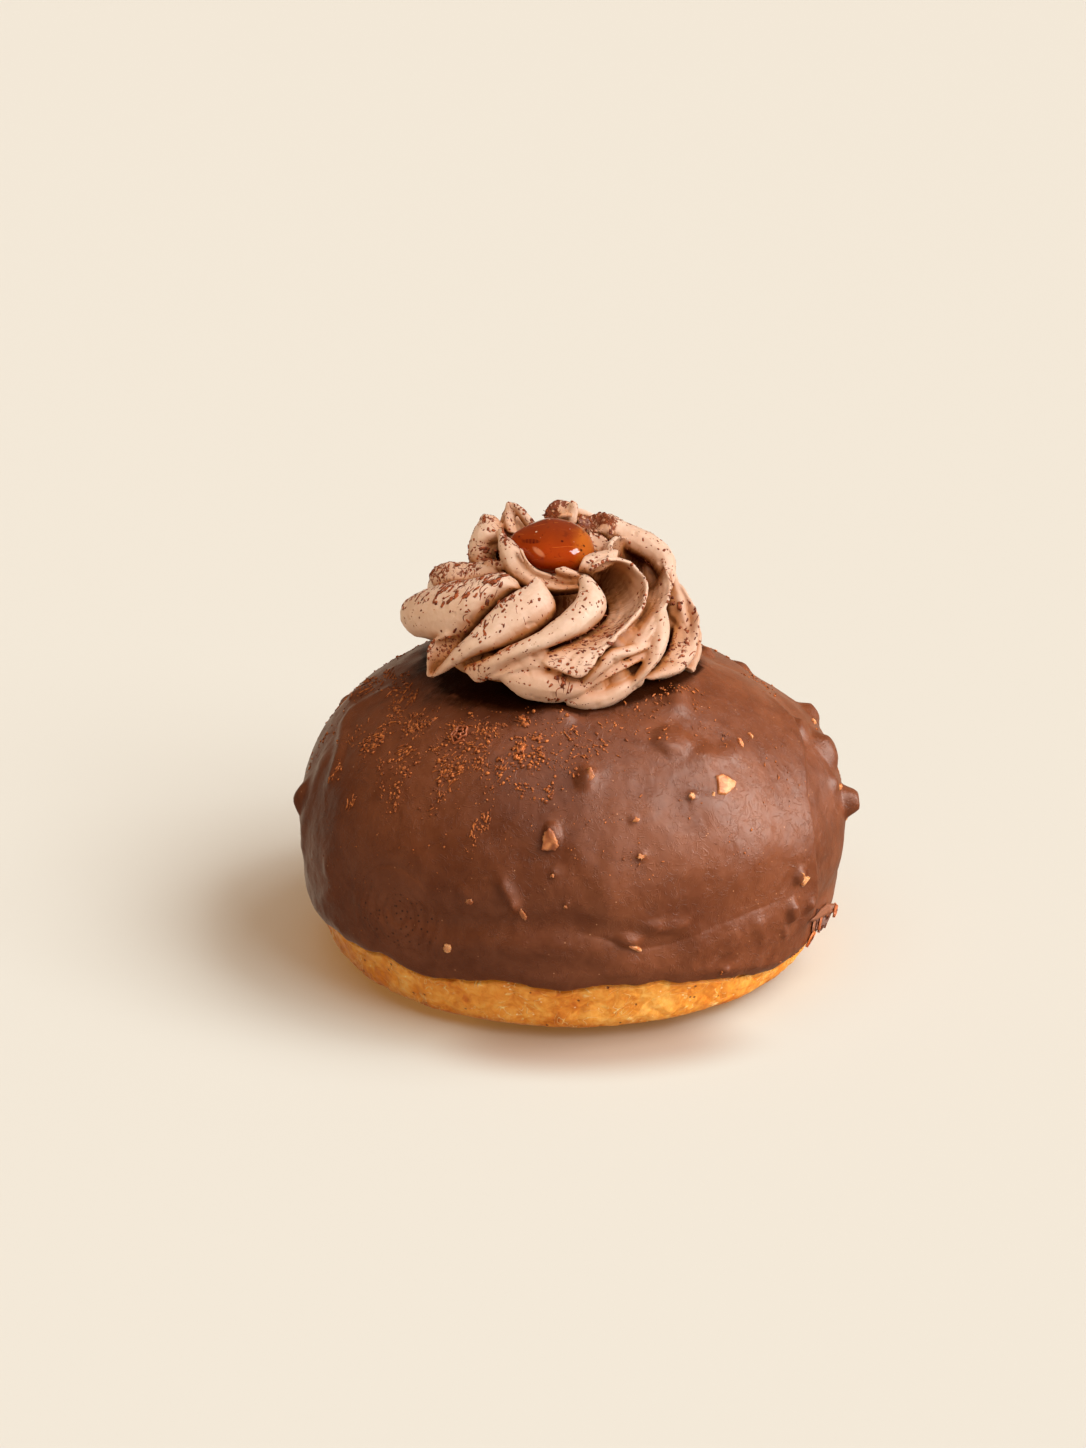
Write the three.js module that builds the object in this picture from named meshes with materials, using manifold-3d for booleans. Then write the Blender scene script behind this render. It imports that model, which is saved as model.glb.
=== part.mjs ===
// A filled doughnut: a fried dough ball with no hole, dipped in milk chocolate with chopped nuts, with a piped
// swirl of light chocolate cream on its crown and a drop of orange gel in the swirl's open middle.
// Millimetres, +Z up, origin under the middle of the doughnut on the surface that it stands on. The front, where
// the dip is widest to see, faces -Y.
import * as THREE from "three";
import { mergeVertices } from "three/addons/utils/BufferGeometryUtils.js";
import Module from "manifold-3d";

const wasm = await Module();
wasm.setup();

// ---------------------------------------------------------------- driving sizes
// doughnut, outside of the chocolate
const BODY_R = 46.0; // widest radius
const WIDEST_Z = 24.4; // height of the widest level
const CROWN_H = 30.8; // from the widest level up to the crown
const CROWN_N = 2.06; // squareness of the upper half
const FOOT_DEPTH = 28.6; // from the widest level down, cut off by the table
const FOOT_N = 3.2; // squareness of the lower half
const TOE_ROUND = 3.4; // how far the foot draws in where it meets the table
const TOE_H = 3.2;
const CROWN_Z = WIDEST_Z + CROWN_H;
// chocolate
const COAT_T = 1.45; // thickness of the dip
const FOOT_FULL = 1.7; // how much further out the bare dough bulges near the table
const LIP_STEP = 0.45; // the bare dough below the edge lies this far in from the chocolate's face
const EDGE_Z = 10.4; // mean height of the lower edge
const GAP = 0.3; // between one piece and the next
// swirl
const SWIRL_X = -3.5; // the swirl sits a little to the left of the crown
const SWIRL_Y = 0.0;
const SWIRL_R = 25.2; // outer radius of the ridges
const SWIRL_H = 19.6; // ridge tops above SWIRL_Z
const SWIRL_Z = 56.0;
const SWIRL_N = 1.6;
const RIDGES = 12;
const RIDGE_PHASE = -62; // degrees, upper end of the first ridge
const RIDGE_SWEEP = 62; // degrees that a ridge turns clockwise on its way out and down
const RIDGE_DEPTH = 9.5; // from the crest down to the root
const MOUTH_R = 8.2; // radius where the ridges end round the gel
const CORE_R = 18.5;
const CORE_H = 12.5;
// gel drop
const GEL_R = 6.75;
const GEL_HALF_H = 3.7;
const GEL_POINT = 0.3; // how much it narrows towards its left end
const GEL_AT = [SWIRL_X + 0.4, -1.2, CROWN_Z + 16.1];
const GEL_TILT = 12; // degrees towards the front
const GEL_ROLL = 9; // degrees, left end up

const RAD = Math.PI / 180;
const smooth = (a, b, x) => {
  const t = Math.min(1, Math.max(0, (x - a) / (b - a)));
  return t * t * (3 - 2 * t);
};
const wrap = (a) => Math.atan2(Math.sin(a), Math.cos(a));

// ---------------------------------------------------------------- doughnut outline
// Radius of the chocolate's outside at height z on the lower half, and the outline of the upper half by angle u.
const footR = (z) =>
  BODY_R * Math.pow(1 - Math.pow((WIDEST_Z - z) / FOOT_DEPTH, FOOT_N), 1 / FOOT_N) -
  TOE_ROUND * Math.pow(Math.max(0, 1 - z / TOE_H), 2);
const crown = (u) => [
  BODY_R * Math.pow(Math.max(0, Math.cos(u)), 2 / CROWN_N),
  WIDEST_Z + CROWN_H * Math.pow(Math.sin(u), 2 / CROWN_N),
];

// v from -1 at the table to 0 at the widest level to 1 at the crown: [r, z] and the outward normal [nr, nz]
function outline(v) {
  if (v <= 0) {
    const z = WIDEST_Z * (1 + v);
    return [footR(z), z];
  }
  return crown((v * Math.PI) / 2);
}
function outlineNormal(v) {
  const d = 0.002;
  const [r0, z0] = outline(Math.max(-0.999, v - d));
  const [r1, z1] = outline(Math.min(1, v + d));
  const l = Math.hypot(r1 - r0, z1 - z0) || 1;
  return v > 0.999 ? [0, 1] : [(z1 - z0) / l, -(r1 - r0) / l];
}

// Height of the chocolate's lower edge round the doughnut: a few slow waves and the scallops of a dipped edge.
function edgeZ(a) {
  return (
    EDGE_Z -
    1.1 * Math.cos(a + 20 * RAD) -
    0.55 * Math.cos(2 * a + 40 * RAD) +
    0.55 * Math.sin(6 * a + 0.8) +
    0.4 * Math.sin(11 * a + 2.1) +
    0.22 * Math.sin(17 * a + 0.3)
  );
}

// Chopped nuts under the chocolate: [azimuth, height, half width, how proud].
const NUTS = [
  [-12, 28.3, 3.0, 2.6],
  [-170, 28.7, 3.0, 1.7],
  [-8, 40.5, 3.4, 1.6],
  [-10, 35.8, 3.6, 1.7],
  [-87, 44.1, 2.8, 1.6],
  [-95, 36.8, 2.4, 1.6],
  [-57, 46.6, 4.2, 1.5],
  [-102, 27.4, 3.0, 1.3],
  [-78, 19.8, 2.6, 1.3],
  [-38, 17.4, 3.0, 1.3],
  [-37, 24.0, 2.6, 1.0],
  [28, 33.0, 3.2, 1.8],
  [62, 24.5, 2.8, 1.5],
  [95, 38.0, 3.4, 1.6],
  [128, 29.0, 3.0, 1.7],
  [155, 40.0, 3.2, 1.4],
];
function relief(a, z) {
  const fade = 1 - smooth(45, 50, z); // plain under the swirl
  let d =
    0.35 * Math.sin(3 * a + 0.7 + z * 0.09) +
    0.28 * Math.sin(5 * a - 1.3 - z * 0.14) +
    0.2 * Math.sin(8 * a + 2.0 + z * 0.21);
  // the overlap of two runs of chocolate, a step down the right-hand side
  const step = wrap(a + 32 * RAD) / RAD;
  d += -0.9 * smooth(-1.5, 2.0, step) * (1 - smooth(2, 26, step)) * smooth(12, 20, z);
  // a shallow waist above the lower edge
  d += -0.35 * Math.exp(-Math.pow((z - 20.5) / 3, 2)) * (0.6 + 0.4 * Math.cos(a + 100 * RAD));
  return d * fade;
}
// v on the upper or lower half of the outline for a height z
function vOf(z) {
  if (z <= WIDEST_Z) return z / WIDEST_Z - 1;
  return (Math.asin(Math.pow((z - WIDEST_Z) / CROWN_H, CROWN_N / 2)) * 2) / Math.PI;
}

// ---------------------------------------------------------------- closed grids
// rows: each an array of n points [x, y, z], joined round; the first and last rows close on a centre point.
function closedGrid(rows, first, last) {
  const n = rows[0].length;
  const pos = [];
  const idx = [];
  for (const row of rows) for (const p of row) pos.push(...p);
  const at = (i, j) => i * n + (((j % n) + n) % n);
  for (let i = 0; i + 1 < rows.length; i++)
    for (let j = 0; j < n; j++) {
      idx.push(at(i, j), at(i, j + 1), at(i + 1, j + 1));
      idx.push(at(i, j), at(i + 1, j + 1), at(i + 1, j));
    }
  const cap = (centre, i, flip) => {
    const c = pos.length / 3;
    pos.push(...centre);
    for (let j = 0; j < n; j++)
      idx.push(...(flip ? [c, at(i, j + 1), at(i, j)] : [c, at(i, j), at(i, j + 1)]));
  };
  cap(first, 0, true);
  cap(last, rows.length - 1, false);
  const g = new THREE.BufferGeometry();
  g.setAttribute("position", new THREE.Float32BufferAttribute(pos, 3));
  g.setIndex(idx);
  return g;
}
const ring = (n, f) => Array.from({ length: n }, (_, j) => f((j / n) * 2 * Math.PI));
const polar = (r, a, z) => [r * Math.cos(a), r * Math.sin(a), z];

// A point on the doughnut's outline at v and azimuth a, moved out along the normal by d.
function onBody(v, a, d) {
  const [r, z] = outline(v);
  const [nr, nz] = outlineNormal(v);
  return polar(Math.max(0, r + nr * d), a, z + nz * d);
}

// ---------------------------------------------------------------- dough
// The dough under the chocolate and the inside of the chocolate share their rows, so the gap between them is even.
const N_AROUND = 52;
const LIP_ROW = 1.4; // first shared row, this far above the edge
const SHARED_V = [-0.28, -0.1, 0.08, 0.24, 0.4, 0.56, 0.74, 0.9];
const BARE_OUT = (a) => 0.18 * Math.sin(7 * a + 0.4) + 0.14 * Math.sin(12 * a + 1.9);
function doughInset(z, a) {
  const covered = smooth(edgeZ(a) - 1.9, edgeZ(a) - 0.7, z);
  return -(LIP_STEP + 0.25) * (1 - covered) - (COAT_T + GAP) * covered;
}
function doughGeometry() {
  const rows = [];
  for (const z of [0, 1.1, 2.6, 4.6, 6.4])
    rows.push(
      ring(N_AROUND, (a) => {
        const v = z / WIDEST_Z - 1;
        const [r] = outline(v);
        const bulge = FOOT_FULL * (1 - smooth(1.2, 8, z));
        return polar(r - LIP_STEP - 0.25 + bulge + BARE_OUT(a) * smooth(0, 3, z), a, z);
      }),
    );
  for (const k of [-2.4, -1.7, -0.5, LIP_ROW])
    rows.push(
      ring(N_AROUND, (a) => {
        const z = Math.max(7.0 + (k + 2.4) * 0.2, edgeZ(a) + k);
        const [r] = outline(z / WIDEST_Z - 1);
        return polar(r + doughInset(z, a) + (k < -1.5 ? BARE_OUT(a) : 0), a, z);
      }),
    );
  for (const v of SHARED_V) rows.push(ring(N_AROUND, (a) => onBody(v, a, -(COAT_T + GAP))));
  return closedGrid(rows, [0, 0, 0], [0, 0, CROWN_Z - COAT_T - GAP]);
}

// ---------------------------------------------------------------- chocolate
// One shell: up the outside from the lip to the crown, and back down its inside to the lip.
const COAT_AROUND = N_AROUND;
const lip = (a, up, out) => {
  const z = edgeZ(a) + up;
  const [r] = outline(z / WIDEST_Z - 1);
  return polar(r + out, a, z);
};
// A nut under its skin of chocolate: a rounded lump set into the coat's face.
function nutGeometry([az, z, half, proud]) {
  const g = new THREE.SphereGeometry(1, 8, 6);
  g.scale(proud + COAT_T, half, half * 0.86);
  const v = vOf(z);
  const [nr, nz] = outlineNormal(v);
  g.rotateY(-Math.atan2(nz, nr));
  g.rotateZ(az * RAD);
  g.translate(...onBody(v, az * RAD, relief(az * RAD, z) - COAT_T));
  return g;
}
function coatGeometry() {
  const outRows = [];
  outRows.push(ring(COAT_AROUND, (a) => lip(a, 0, -COAT_T * 0.55)));
  outRows.push(ring(COAT_AROUND, (a) => lip(a, 0.5, 0.0)));
  outRows.push(ring(COAT_AROUND, (a) => lip(a, 2.0, 0.15 + 0.4 * relief(a, edgeZ(a) + 2))));
  for (const v of [-0.3, -0.17, -0.05, 0.07, 0.17, 0.27, 0.37, 0.47, 0.57, 0.68, 0.8, 0.92])
    outRows.push(ring(COAT_AROUND, (a) => onBody(v, a, relief(a, outline(v)[1]))));
  const inRows = [];
  for (const v of SHARED_V.slice().reverse()) inRows.push(ring(COAT_AROUND, (a) => onBody(v, a, -COAT_T)));
  inRows.push(ring(COAT_AROUND, (a) => lip(a, LIP_ROW, -COAT_T)));
  inRows.push(ring(COAT_AROUND, (a) => lip(a, 0.15, -COAT_T)));
  // outside with its crown point, inside with its own, joined along the lip
  const n = COAT_AROUND;
  const pos = [];
  const idx = [];
  const push = (rows) => {
    const base = pos.length / 3;
    for (const row of rows) for (const p of row) pos.push(...p);
    return base;
  };
  const o = push(outRows);
  const top = pos.length / 3;
  pos.push(0, 0, CROWN_Z);
  const i0 = push(inRows);
  const under = pos.length / 3;
  pos.push(0, 0, CROWN_Z - COAT_T);
  const quad = (a, b, c, d) => idx.push(a, b, c, a, c, d);
  const nx = (j) => (j + 1) % n;
  for (let j = 0; j < n; j++) {
    for (let i = 0; i + 1 < outRows.length; i++)
      quad(o + i * n + j, o + i * n + nx(j), o + (i + 1) * n + nx(j), o + (i + 1) * n + j);
    const last = o + (outRows.length - 1) * n;
    idx.push(top, last + j, last + nx(j));
    idx.push(under, i0 + nx(j), i0 + j);
    for (let i = 0; i + 1 < inRows.length; i++)
      quad(i0 + i * n + j, i0 + i * n + nx(j), i0 + (i + 1) * n + nx(j), i0 + (i + 1) * n + j);
    const rim = i0 + (inRows.length - 1) * n;
    quad(rim + j, rim + nx(j), o + nx(j), o + j);
  }
  const g = new THREE.BufferGeometry();
  g.setAttribute("position", new THREE.Float32BufferAttribute(pos, 3));
  g.setIndex(idx);
  // the nuts, cut to the coat's inner face
  const cut = [];
  for (const k of [0.15, LIP_ROW]) cut.push(ring(n, (a) => lip(a, k, -COAT_T + 0.01)));
  for (const v of SHARED_V) cut.push(ring(n, (a) => onBody(v, a, -COAT_T + 0.01)));
  const inside = solid(closedGrid(cut, [0, 0, 0], [0, 0, CROWN_Z - COAT_T + 0.01]));
  let coat = solid(g);
  for (const nut of NUTS) coat = coat.add(solid(nutGeometry(nut)).subtract(inside));
  return geometryOf(coat);
}

// ---------------------------------------------------------------- booleans
function solid(geometry) {
  const g = geometry.index ? geometry.toNonIndexed() : geometry.clone();
  g.deleteAttribute("normal");
  g.deleteAttribute("uv");
  const m = mergeVertices(g, 1e-4);
  return new wasm.Manifold(
    new wasm.Mesh({
      numProp: 3,
      vertProperties: m.attributes.position.array,
      triVerts: new Uint32Array(m.index.array),
    }),
  );
}
function geometryOf(manifold) {
  const m = manifold.getMesh();
  const v = new Float32Array(m.numVert * 3);
  for (let i = 0; i < m.numVert; i++)
    v.set(m.vertProperties.subarray(i * m.numProp, i * m.numProp + 3), i * 3);
  const g = new THREE.BufferGeometry();
  g.setAttribute("position", new THREE.BufferAttribute(v, 3));
  g.setIndex(new THREE.BufferAttribute(m.triVerts, 1));
  g.computeVertexNormals();
  return g;
}

// ---------------------------------------------------------------- swirl
// The crests of the ridges lie on a dome: t = 0 at the open middle, 1 at the outer foot.
function crest(t, tall) {
  const uTop = Math.acos(Math.pow(MOUTH_R / SWIRL_R, SWIRL_N / 2));
  if (t < 0.8) {
    const u = uTop * (1 - t / 0.8);
    return [
      SWIRL_R * Math.pow(Math.cos(u), 2 / SWIRL_N),
      SWIRL_Z + SWIRL_H * tall * Math.pow(Math.sin(u), 2 / SWIRL_N),
    ];
  }
  const q = (t - 0.8) / 0.2;
  return [SWIRL_R - 1.6 * q * q, SWIRL_Z - 5.2 * q];
}
// One ridge, as a star nozzle leaves it: a leaning wedge with a rounded crest, swept outwards, down and round.
function ridge(k) {
  const vary = (s) => Math.sin(k * 2.399 + s);
  const start = (RIDGE_PHASE + (360 / RIDGES) * k + 3 * vary(1)) * RAD;
  const sweep = (RIDGE_SWEEP + 7 * vary(2)) * RAD;
  const tall = 1 + 0.05 * vary(3);
  const fat = 1 + 0.12 * vary(4);
  const STEPS = 9;
  const point = (t) => {
    const [r, z] = crest(t, tall);
    const a = start - sweep * Math.pow(t, 1.5);
    return new THREE.Vector3(SWIRL_X + r * Math.cos(a), SWIRL_Y + r * Math.sin(a), z);
  };
  const section = [
    [0.0, 0.0],
    [0.9, -0.5],
    [1.7, -2.2],
    [2.4, -RIDGE_DEPTH],
    [-3.3, -RIDGE_DEPTH],
    [-2.9, -5.2],
    [-1.9, -2.2],
    [-1.0, -0.5],
  ];
  const rows = [];
  for (let i = 0; i <= STEPS; i++) {
    const t = i / STEPS;
    const p = point(t);
    const along = point(Math.min(1, t + 0.02)).sub(point(Math.max(0, t - 0.02))).normalize();
    const axis = new THREE.Vector3(SWIRL_X, SWIRL_Y, SWIRL_Z - 2);
    const out = p.clone().sub(axis);
    out.addScaledVector(along, -out.dot(along)).normalize();
    const side = new THREE.Vector3().crossVectors(along, out).normalize();
    const w = fat * (0.62 + 0.55 * smooth(0, 0.35, t) - 0.35 * smooth(0.75, 1, t));
    const deep = 1 - 0.35 * smooth(0.8, 1, t);
    rows.push(
      section.map(([b, n]) => {
        const lean = 0.16 * n; // the crest leans clockwise over the next groove
        return p
          .clone()
          .addScaledVector(side, b * w + lean)
          .addScaledVector(out, n * deep)
          .toArray();
      }),
    );
  }
  const mid = (row) => {
    const c = new THREE.Vector3();
    row.forEach((q) => c.add(new THREE.Vector3(...q)));
    return c.divideScalar(row.length).toArray();
  };
  return closedGrid(rows, mid(rows[0]), mid(rows[STEPS]));
}
function swirlGeometry() {
  const coreRows = [];
  for (const [q, dz] of [
    [1, -9],
    [1, -1],
  ])
    coreRows.push(ring(30, (a) => [SWIRL_X + CORE_R * q * Math.cos(a), SWIRL_Y + CORE_R * q * Math.sin(a), SWIRL_Z + dz]));
  for (const u of [0.35, 0.75, 1.15])
    coreRows.push(
      ring(30, (a) => {
        const r = CORE_R * Math.cos(u);
        return [SWIRL_X + r * Math.cos(a), SWIRL_Y + r * Math.sin(a), SWIRL_Z - 1 + CORE_H * Math.sin(u)];
      }),
    );
  let body = solid(
    closedGrid(coreRows, [SWIRL_X, SWIRL_Y, SWIRL_Z - 9], [SWIRL_X, SWIRL_Y, SWIRL_Z - 2.2 + CORE_H]),
  );
  for (let k = 0; k < RIDGES; k++) body = body.add(solid(ridge(k)));
  // the crown of the doughnut, just proud of the chocolate
  const rows = [];
  for (const v of [0.3, 0.42, 0.52, 0.62, 0.72, 0.82, 0.92])
    rows.push(ring(60, (a) => onBody(v, a, GAP + 0.02)));
  const crownSolid = solid(
    closedGrid(rows, [0, 0, rows[0][0][2] - 0.01], [0, 0, CROWN_Z + GAP + 0.02]),
  );
  body = body.subtract(crownSolid);
  body = body.subtract(solid(gelGeometry(GAP)));
  // what a cut leaves apart from the swirl itself is dropped
  const parts = body.decompose().sort((p, q) => q.volume() - p.volume());
  return geometryOf(parts[0]);
}

// ---------------------------------------------------------------- gel
function gelGeometry(grow) {
  const g = new THREE.SphereGeometry(1, 20, 10);
  const p = g.attributes.position;
  for (let i = 0; i < p.count; i++) {
    const k = 1 - GEL_POINT * smooth(0.15, 1, -p.getX(i));
    p.setXYZ(
      i,
      p.getX(i) * (GEL_R + grow),
      p.getY(i) * (GEL_R * 0.94 * k + grow),
      p.getZ(i) * (GEL_HALF_H * k + grow),
    );
  }
  g.rotateX(GEL_TILT * RAD);
  g.rotateY(GEL_ROLL * RAD);
  g.translate(...GEL_AT);
  return g;
}

// ---------------------------------------------------------------- the object
function mesh(name, geometry, colour, roughness) {
  const flat = geometry.clone();
  flat.computeVertexNormals();
  const m = new THREE.Mesh(
    flat,
    new THREE.MeshStandardMaterial({ color: new THREE.Color(colour), roughness, metalness: 0 }),
  );
  m.name = name;
  return m;
}
const doughnut = new THREE.Group();
doughnut.add(mesh("dough_body", doughGeometry(), "#d08a34", 0.6));
doughnut.add(mesh("chocolate_coat", coatGeometry(), "#74452c", 0.38));
doughnut.add(mesh("cream_swirl", swirlGeometry(), "#dcb48e", 0.5));
doughnut.add(mesh("gel_drop", gelGeometry(0), "#b84a08", 0.08));

export default doughnut;
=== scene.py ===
import math

import bpy
import numpy as np
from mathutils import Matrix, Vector
from mathutils.bvhtree import BVHTree
from mathutils.kdtree import KDTree


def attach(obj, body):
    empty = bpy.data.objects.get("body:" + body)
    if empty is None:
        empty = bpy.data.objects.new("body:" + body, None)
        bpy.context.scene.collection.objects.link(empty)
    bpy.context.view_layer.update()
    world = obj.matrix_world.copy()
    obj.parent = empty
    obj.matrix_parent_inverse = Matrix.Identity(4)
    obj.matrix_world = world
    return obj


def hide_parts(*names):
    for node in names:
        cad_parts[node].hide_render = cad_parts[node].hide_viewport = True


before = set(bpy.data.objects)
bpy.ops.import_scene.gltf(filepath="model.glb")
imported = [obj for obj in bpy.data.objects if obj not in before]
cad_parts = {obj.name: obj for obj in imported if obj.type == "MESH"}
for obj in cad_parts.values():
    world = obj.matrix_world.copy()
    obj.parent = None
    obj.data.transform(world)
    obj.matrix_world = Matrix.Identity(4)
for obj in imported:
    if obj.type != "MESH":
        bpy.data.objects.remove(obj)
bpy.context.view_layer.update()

RNG = np.random.default_rng(20261)
MM = 0.001
RAD = math.pi / 180

# ------------------------------------------------------------------ camera and view
scene = bpy.context.scene
cam_data = bpy.data.cameras.new("camera")
cam_data.lens = 85
cam_data.sensor_width = 36
cam_data.sensor_fit = "AUTO"
cam_data.clip_start = 0.01
cam = bpy.data.objects.new("camera", cam_data)
cam.location = (-0.004886, -0.536263, 0.245273)
cam.rotation_euler = (69 * RAD, 0, 0)
scene.collection.objects.link(cam)
scene.camera = cam
scene.view_settings.view_transform = "Standard"
scene.view_settings.look = "None"


# ------------------------------------------------------------------ numbers
def smooth(a, b, x):
    t = np.clip((np.asarray(x, float) - a) / (b - a), 0, 1)
    return t * t * (3 - 2 * t)


_perm = np.random.default_rng(7).permutation(256)
_perm = np.concatenate([_perm, _perm, _perm])
_grad = np.array([[1, 1, 0], [-1, 1, 0], [1, -1, 0], [-1, -1, 0], [1, 0, 1], [-1, 0, 1], [1, 0, -1], [-1, 0, -1],
                  [0, 1, 1], [0, -1, 1], [0, 1, -1], [0, -1, -1]], float)


def noise(P, scale=1.0, seed=0.0):
    """Gradient noise in about -1..1 at points P, with one cell every 1/scale mm."""
    Q = np.asarray(P, float) * scale + np.array([seed * 17.13, seed * 9.71, seed * 5.37])
    I = np.floor(Q).astype(int)
    F = Q - I
    I &= 255
    U = F * F * F * (F * (F * 6 - 15) + 10)
    out = 0
    for dx in (0, 1):
        wx = U[..., 0] if dx else 1 - U[..., 0]
        for dy in (0, 1):
            wy = U[..., 1] if dy else 1 - U[..., 1]
            for dz in (0, 1):
                wz = U[..., 2] if dz else 1 - U[..., 2]
                h = _perm[_perm[_perm[I[..., 0] + dx] + I[..., 1] + dy] + I[..., 2] + dz] % 12
                g = _grad[h]
                out = out + wx * wy * wz * (
                    g[..., 0] * (F[..., 0] - dx) + g[..., 1] * (F[..., 1] - dy) + g[..., 2] * (F[..., 2] - dz))
    return out


def fbm(P, scale, octaves=3, seed=0.0, gain=0.5):
    s, a, t = 0, 1.0, 0
    for i in range(octaves):
        s = s + a * noise(P, scale * 2 ** i, seed + i * 3.3)
        t += a
        a *= gain
    return s / t


def unit(v):
    v = np.asarray(v, float)
    return v / np.maximum(np.linalg.norm(v, axis=-1, keepdims=True), 1e-12)


def spline(keys, x, period=None):
    """Smooth curve through (x, value) keys."""
    k = np.array(sorted(keys), float)
    kx, ky = k[:, 0], k[:, 1:]
    if period:
        n = 3
        kx = np.concatenate([kx[-n:] - period, kx, kx[:n] + period])
        ky = np.concatenate([ky[-n:], ky, ky[:n]])
        x = (np.asarray(x, float) - k[0, 0]) % period + k[0, 0]
    x = np.asarray(x, float)
    m = np.zeros_like(ky)
    m[1:-1] = (ky[2:] - ky[:-2]) / (kx[2:] - kx[:-2])[:, None]
    m[0] = (ky[1] - ky[0]) / (kx[1] - kx[0])
    m[-1] = (ky[-1] - ky[-2]) / (kx[-1] - kx[-2])
    i = np.clip(np.searchsorted(kx, x) - 1, 0, len(kx) - 2)
    h = kx[i + 1] - kx[i]
    t = np.clip((x - kx[i]) / h, 0, 1)[..., None]
    h = h[..., None]
    out = ((2 * t ** 3 - 3 * t ** 2 + 1) * ky[i] + (t ** 3 - 2 * t ** 2 + t) * h * m[i]
           + (-2 * t ** 3 + 3 * t ** 2) * ky[i + 1] + (t ** 3 - t ** 2) * h * m[i + 1])
    return out[..., 0] if out.shape[-1] == 1 else out


# ------------------------------------------------------------------ mesh helpers
def mesh_object(name, V, faces, smooth_shade=True):
    """V in mm; faces is an integer array of quads or a list of polygons."""
    me = bpy.data.meshes.new(name)
    V = np.asarray(V, float) * MM
    if isinstance(faces, np.ndarray):
        n, k = faces.shape
        me.vertices.add(len(V))
        me.vertices.foreach_set("co", V.ravel())
        me.loops.add(n * k)
        me.loops.foreach_set("vertex_index", faces.ravel().astype(np.int32))
        me.polygons.add(n)
        me.polygons.foreach_set("loop_start", np.arange(0, n * k, k, dtype=np.int32))
        me.update(calc_edges=True)
    else:
        me.from_pydata(V.tolist(), [], faces)
    me.validate()
    if smooth_shade:
        me.polygons.foreach_set("use_smooth", np.ones(len(me.polygons), bool))
    o = bpy.data.objects.new(name, me)
    scene.collection.objects.link(o)
    return o


def grid_faces(rows, cols, base=0, wrap=True):
    i = np.arange(rows - 1)[:, None]
    j = np.arange(cols if wrap else cols - 1)[None, :]
    a = base + i * cols + j
    b = base + i * cols + (j + 1) % cols
    return np.stack([a, b, b + cols, a + cols], -1).reshape(-1, 4)


def fan(center, ring, flip=False):
    ring = list(ring)
    nxt = ring[1:] + ring[:1]
    return [(center, b, a) if flip else (center, a, b) for a, b in zip(ring, nxt)]


def tube_mesh(P, cap=True, base=0):
    """P: rows x cols x 3, rows joined round. Returns V and polygons, closed with a fan at both ends."""
    rows, cols = P.shape[:2]
    V = P.reshape(-1, 3)
    faces = [tuple(f) for f in grid_faces(rows, cols)]
    if cap:
        V = np.concatenate([V, P[0].mean(0)[None], P[-1].mean(0)[None]])
        n = rows * cols
        faces += fan(n, range(cols), True)
        faces += fan(n + 1, range((rows - 1) * cols, rows * cols))
    return V, [tuple(int(i) + base for i in f) for f in faces]


# ------------------------------------------------------------------ materials
def material(name):
    m = bpy.data.materials.new(name)
    m.use_nodes = True
    nt = m.node_tree
    nt.nodes.clear()
    out = nt.nodes.new("ShaderNodeOutputMaterial")
    b = nt.nodes.new("ShaderNodeBsdfPrincipled")
    nt.links.new(b.outputs[0], out.inputs[0])
    return m, nt, b


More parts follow.
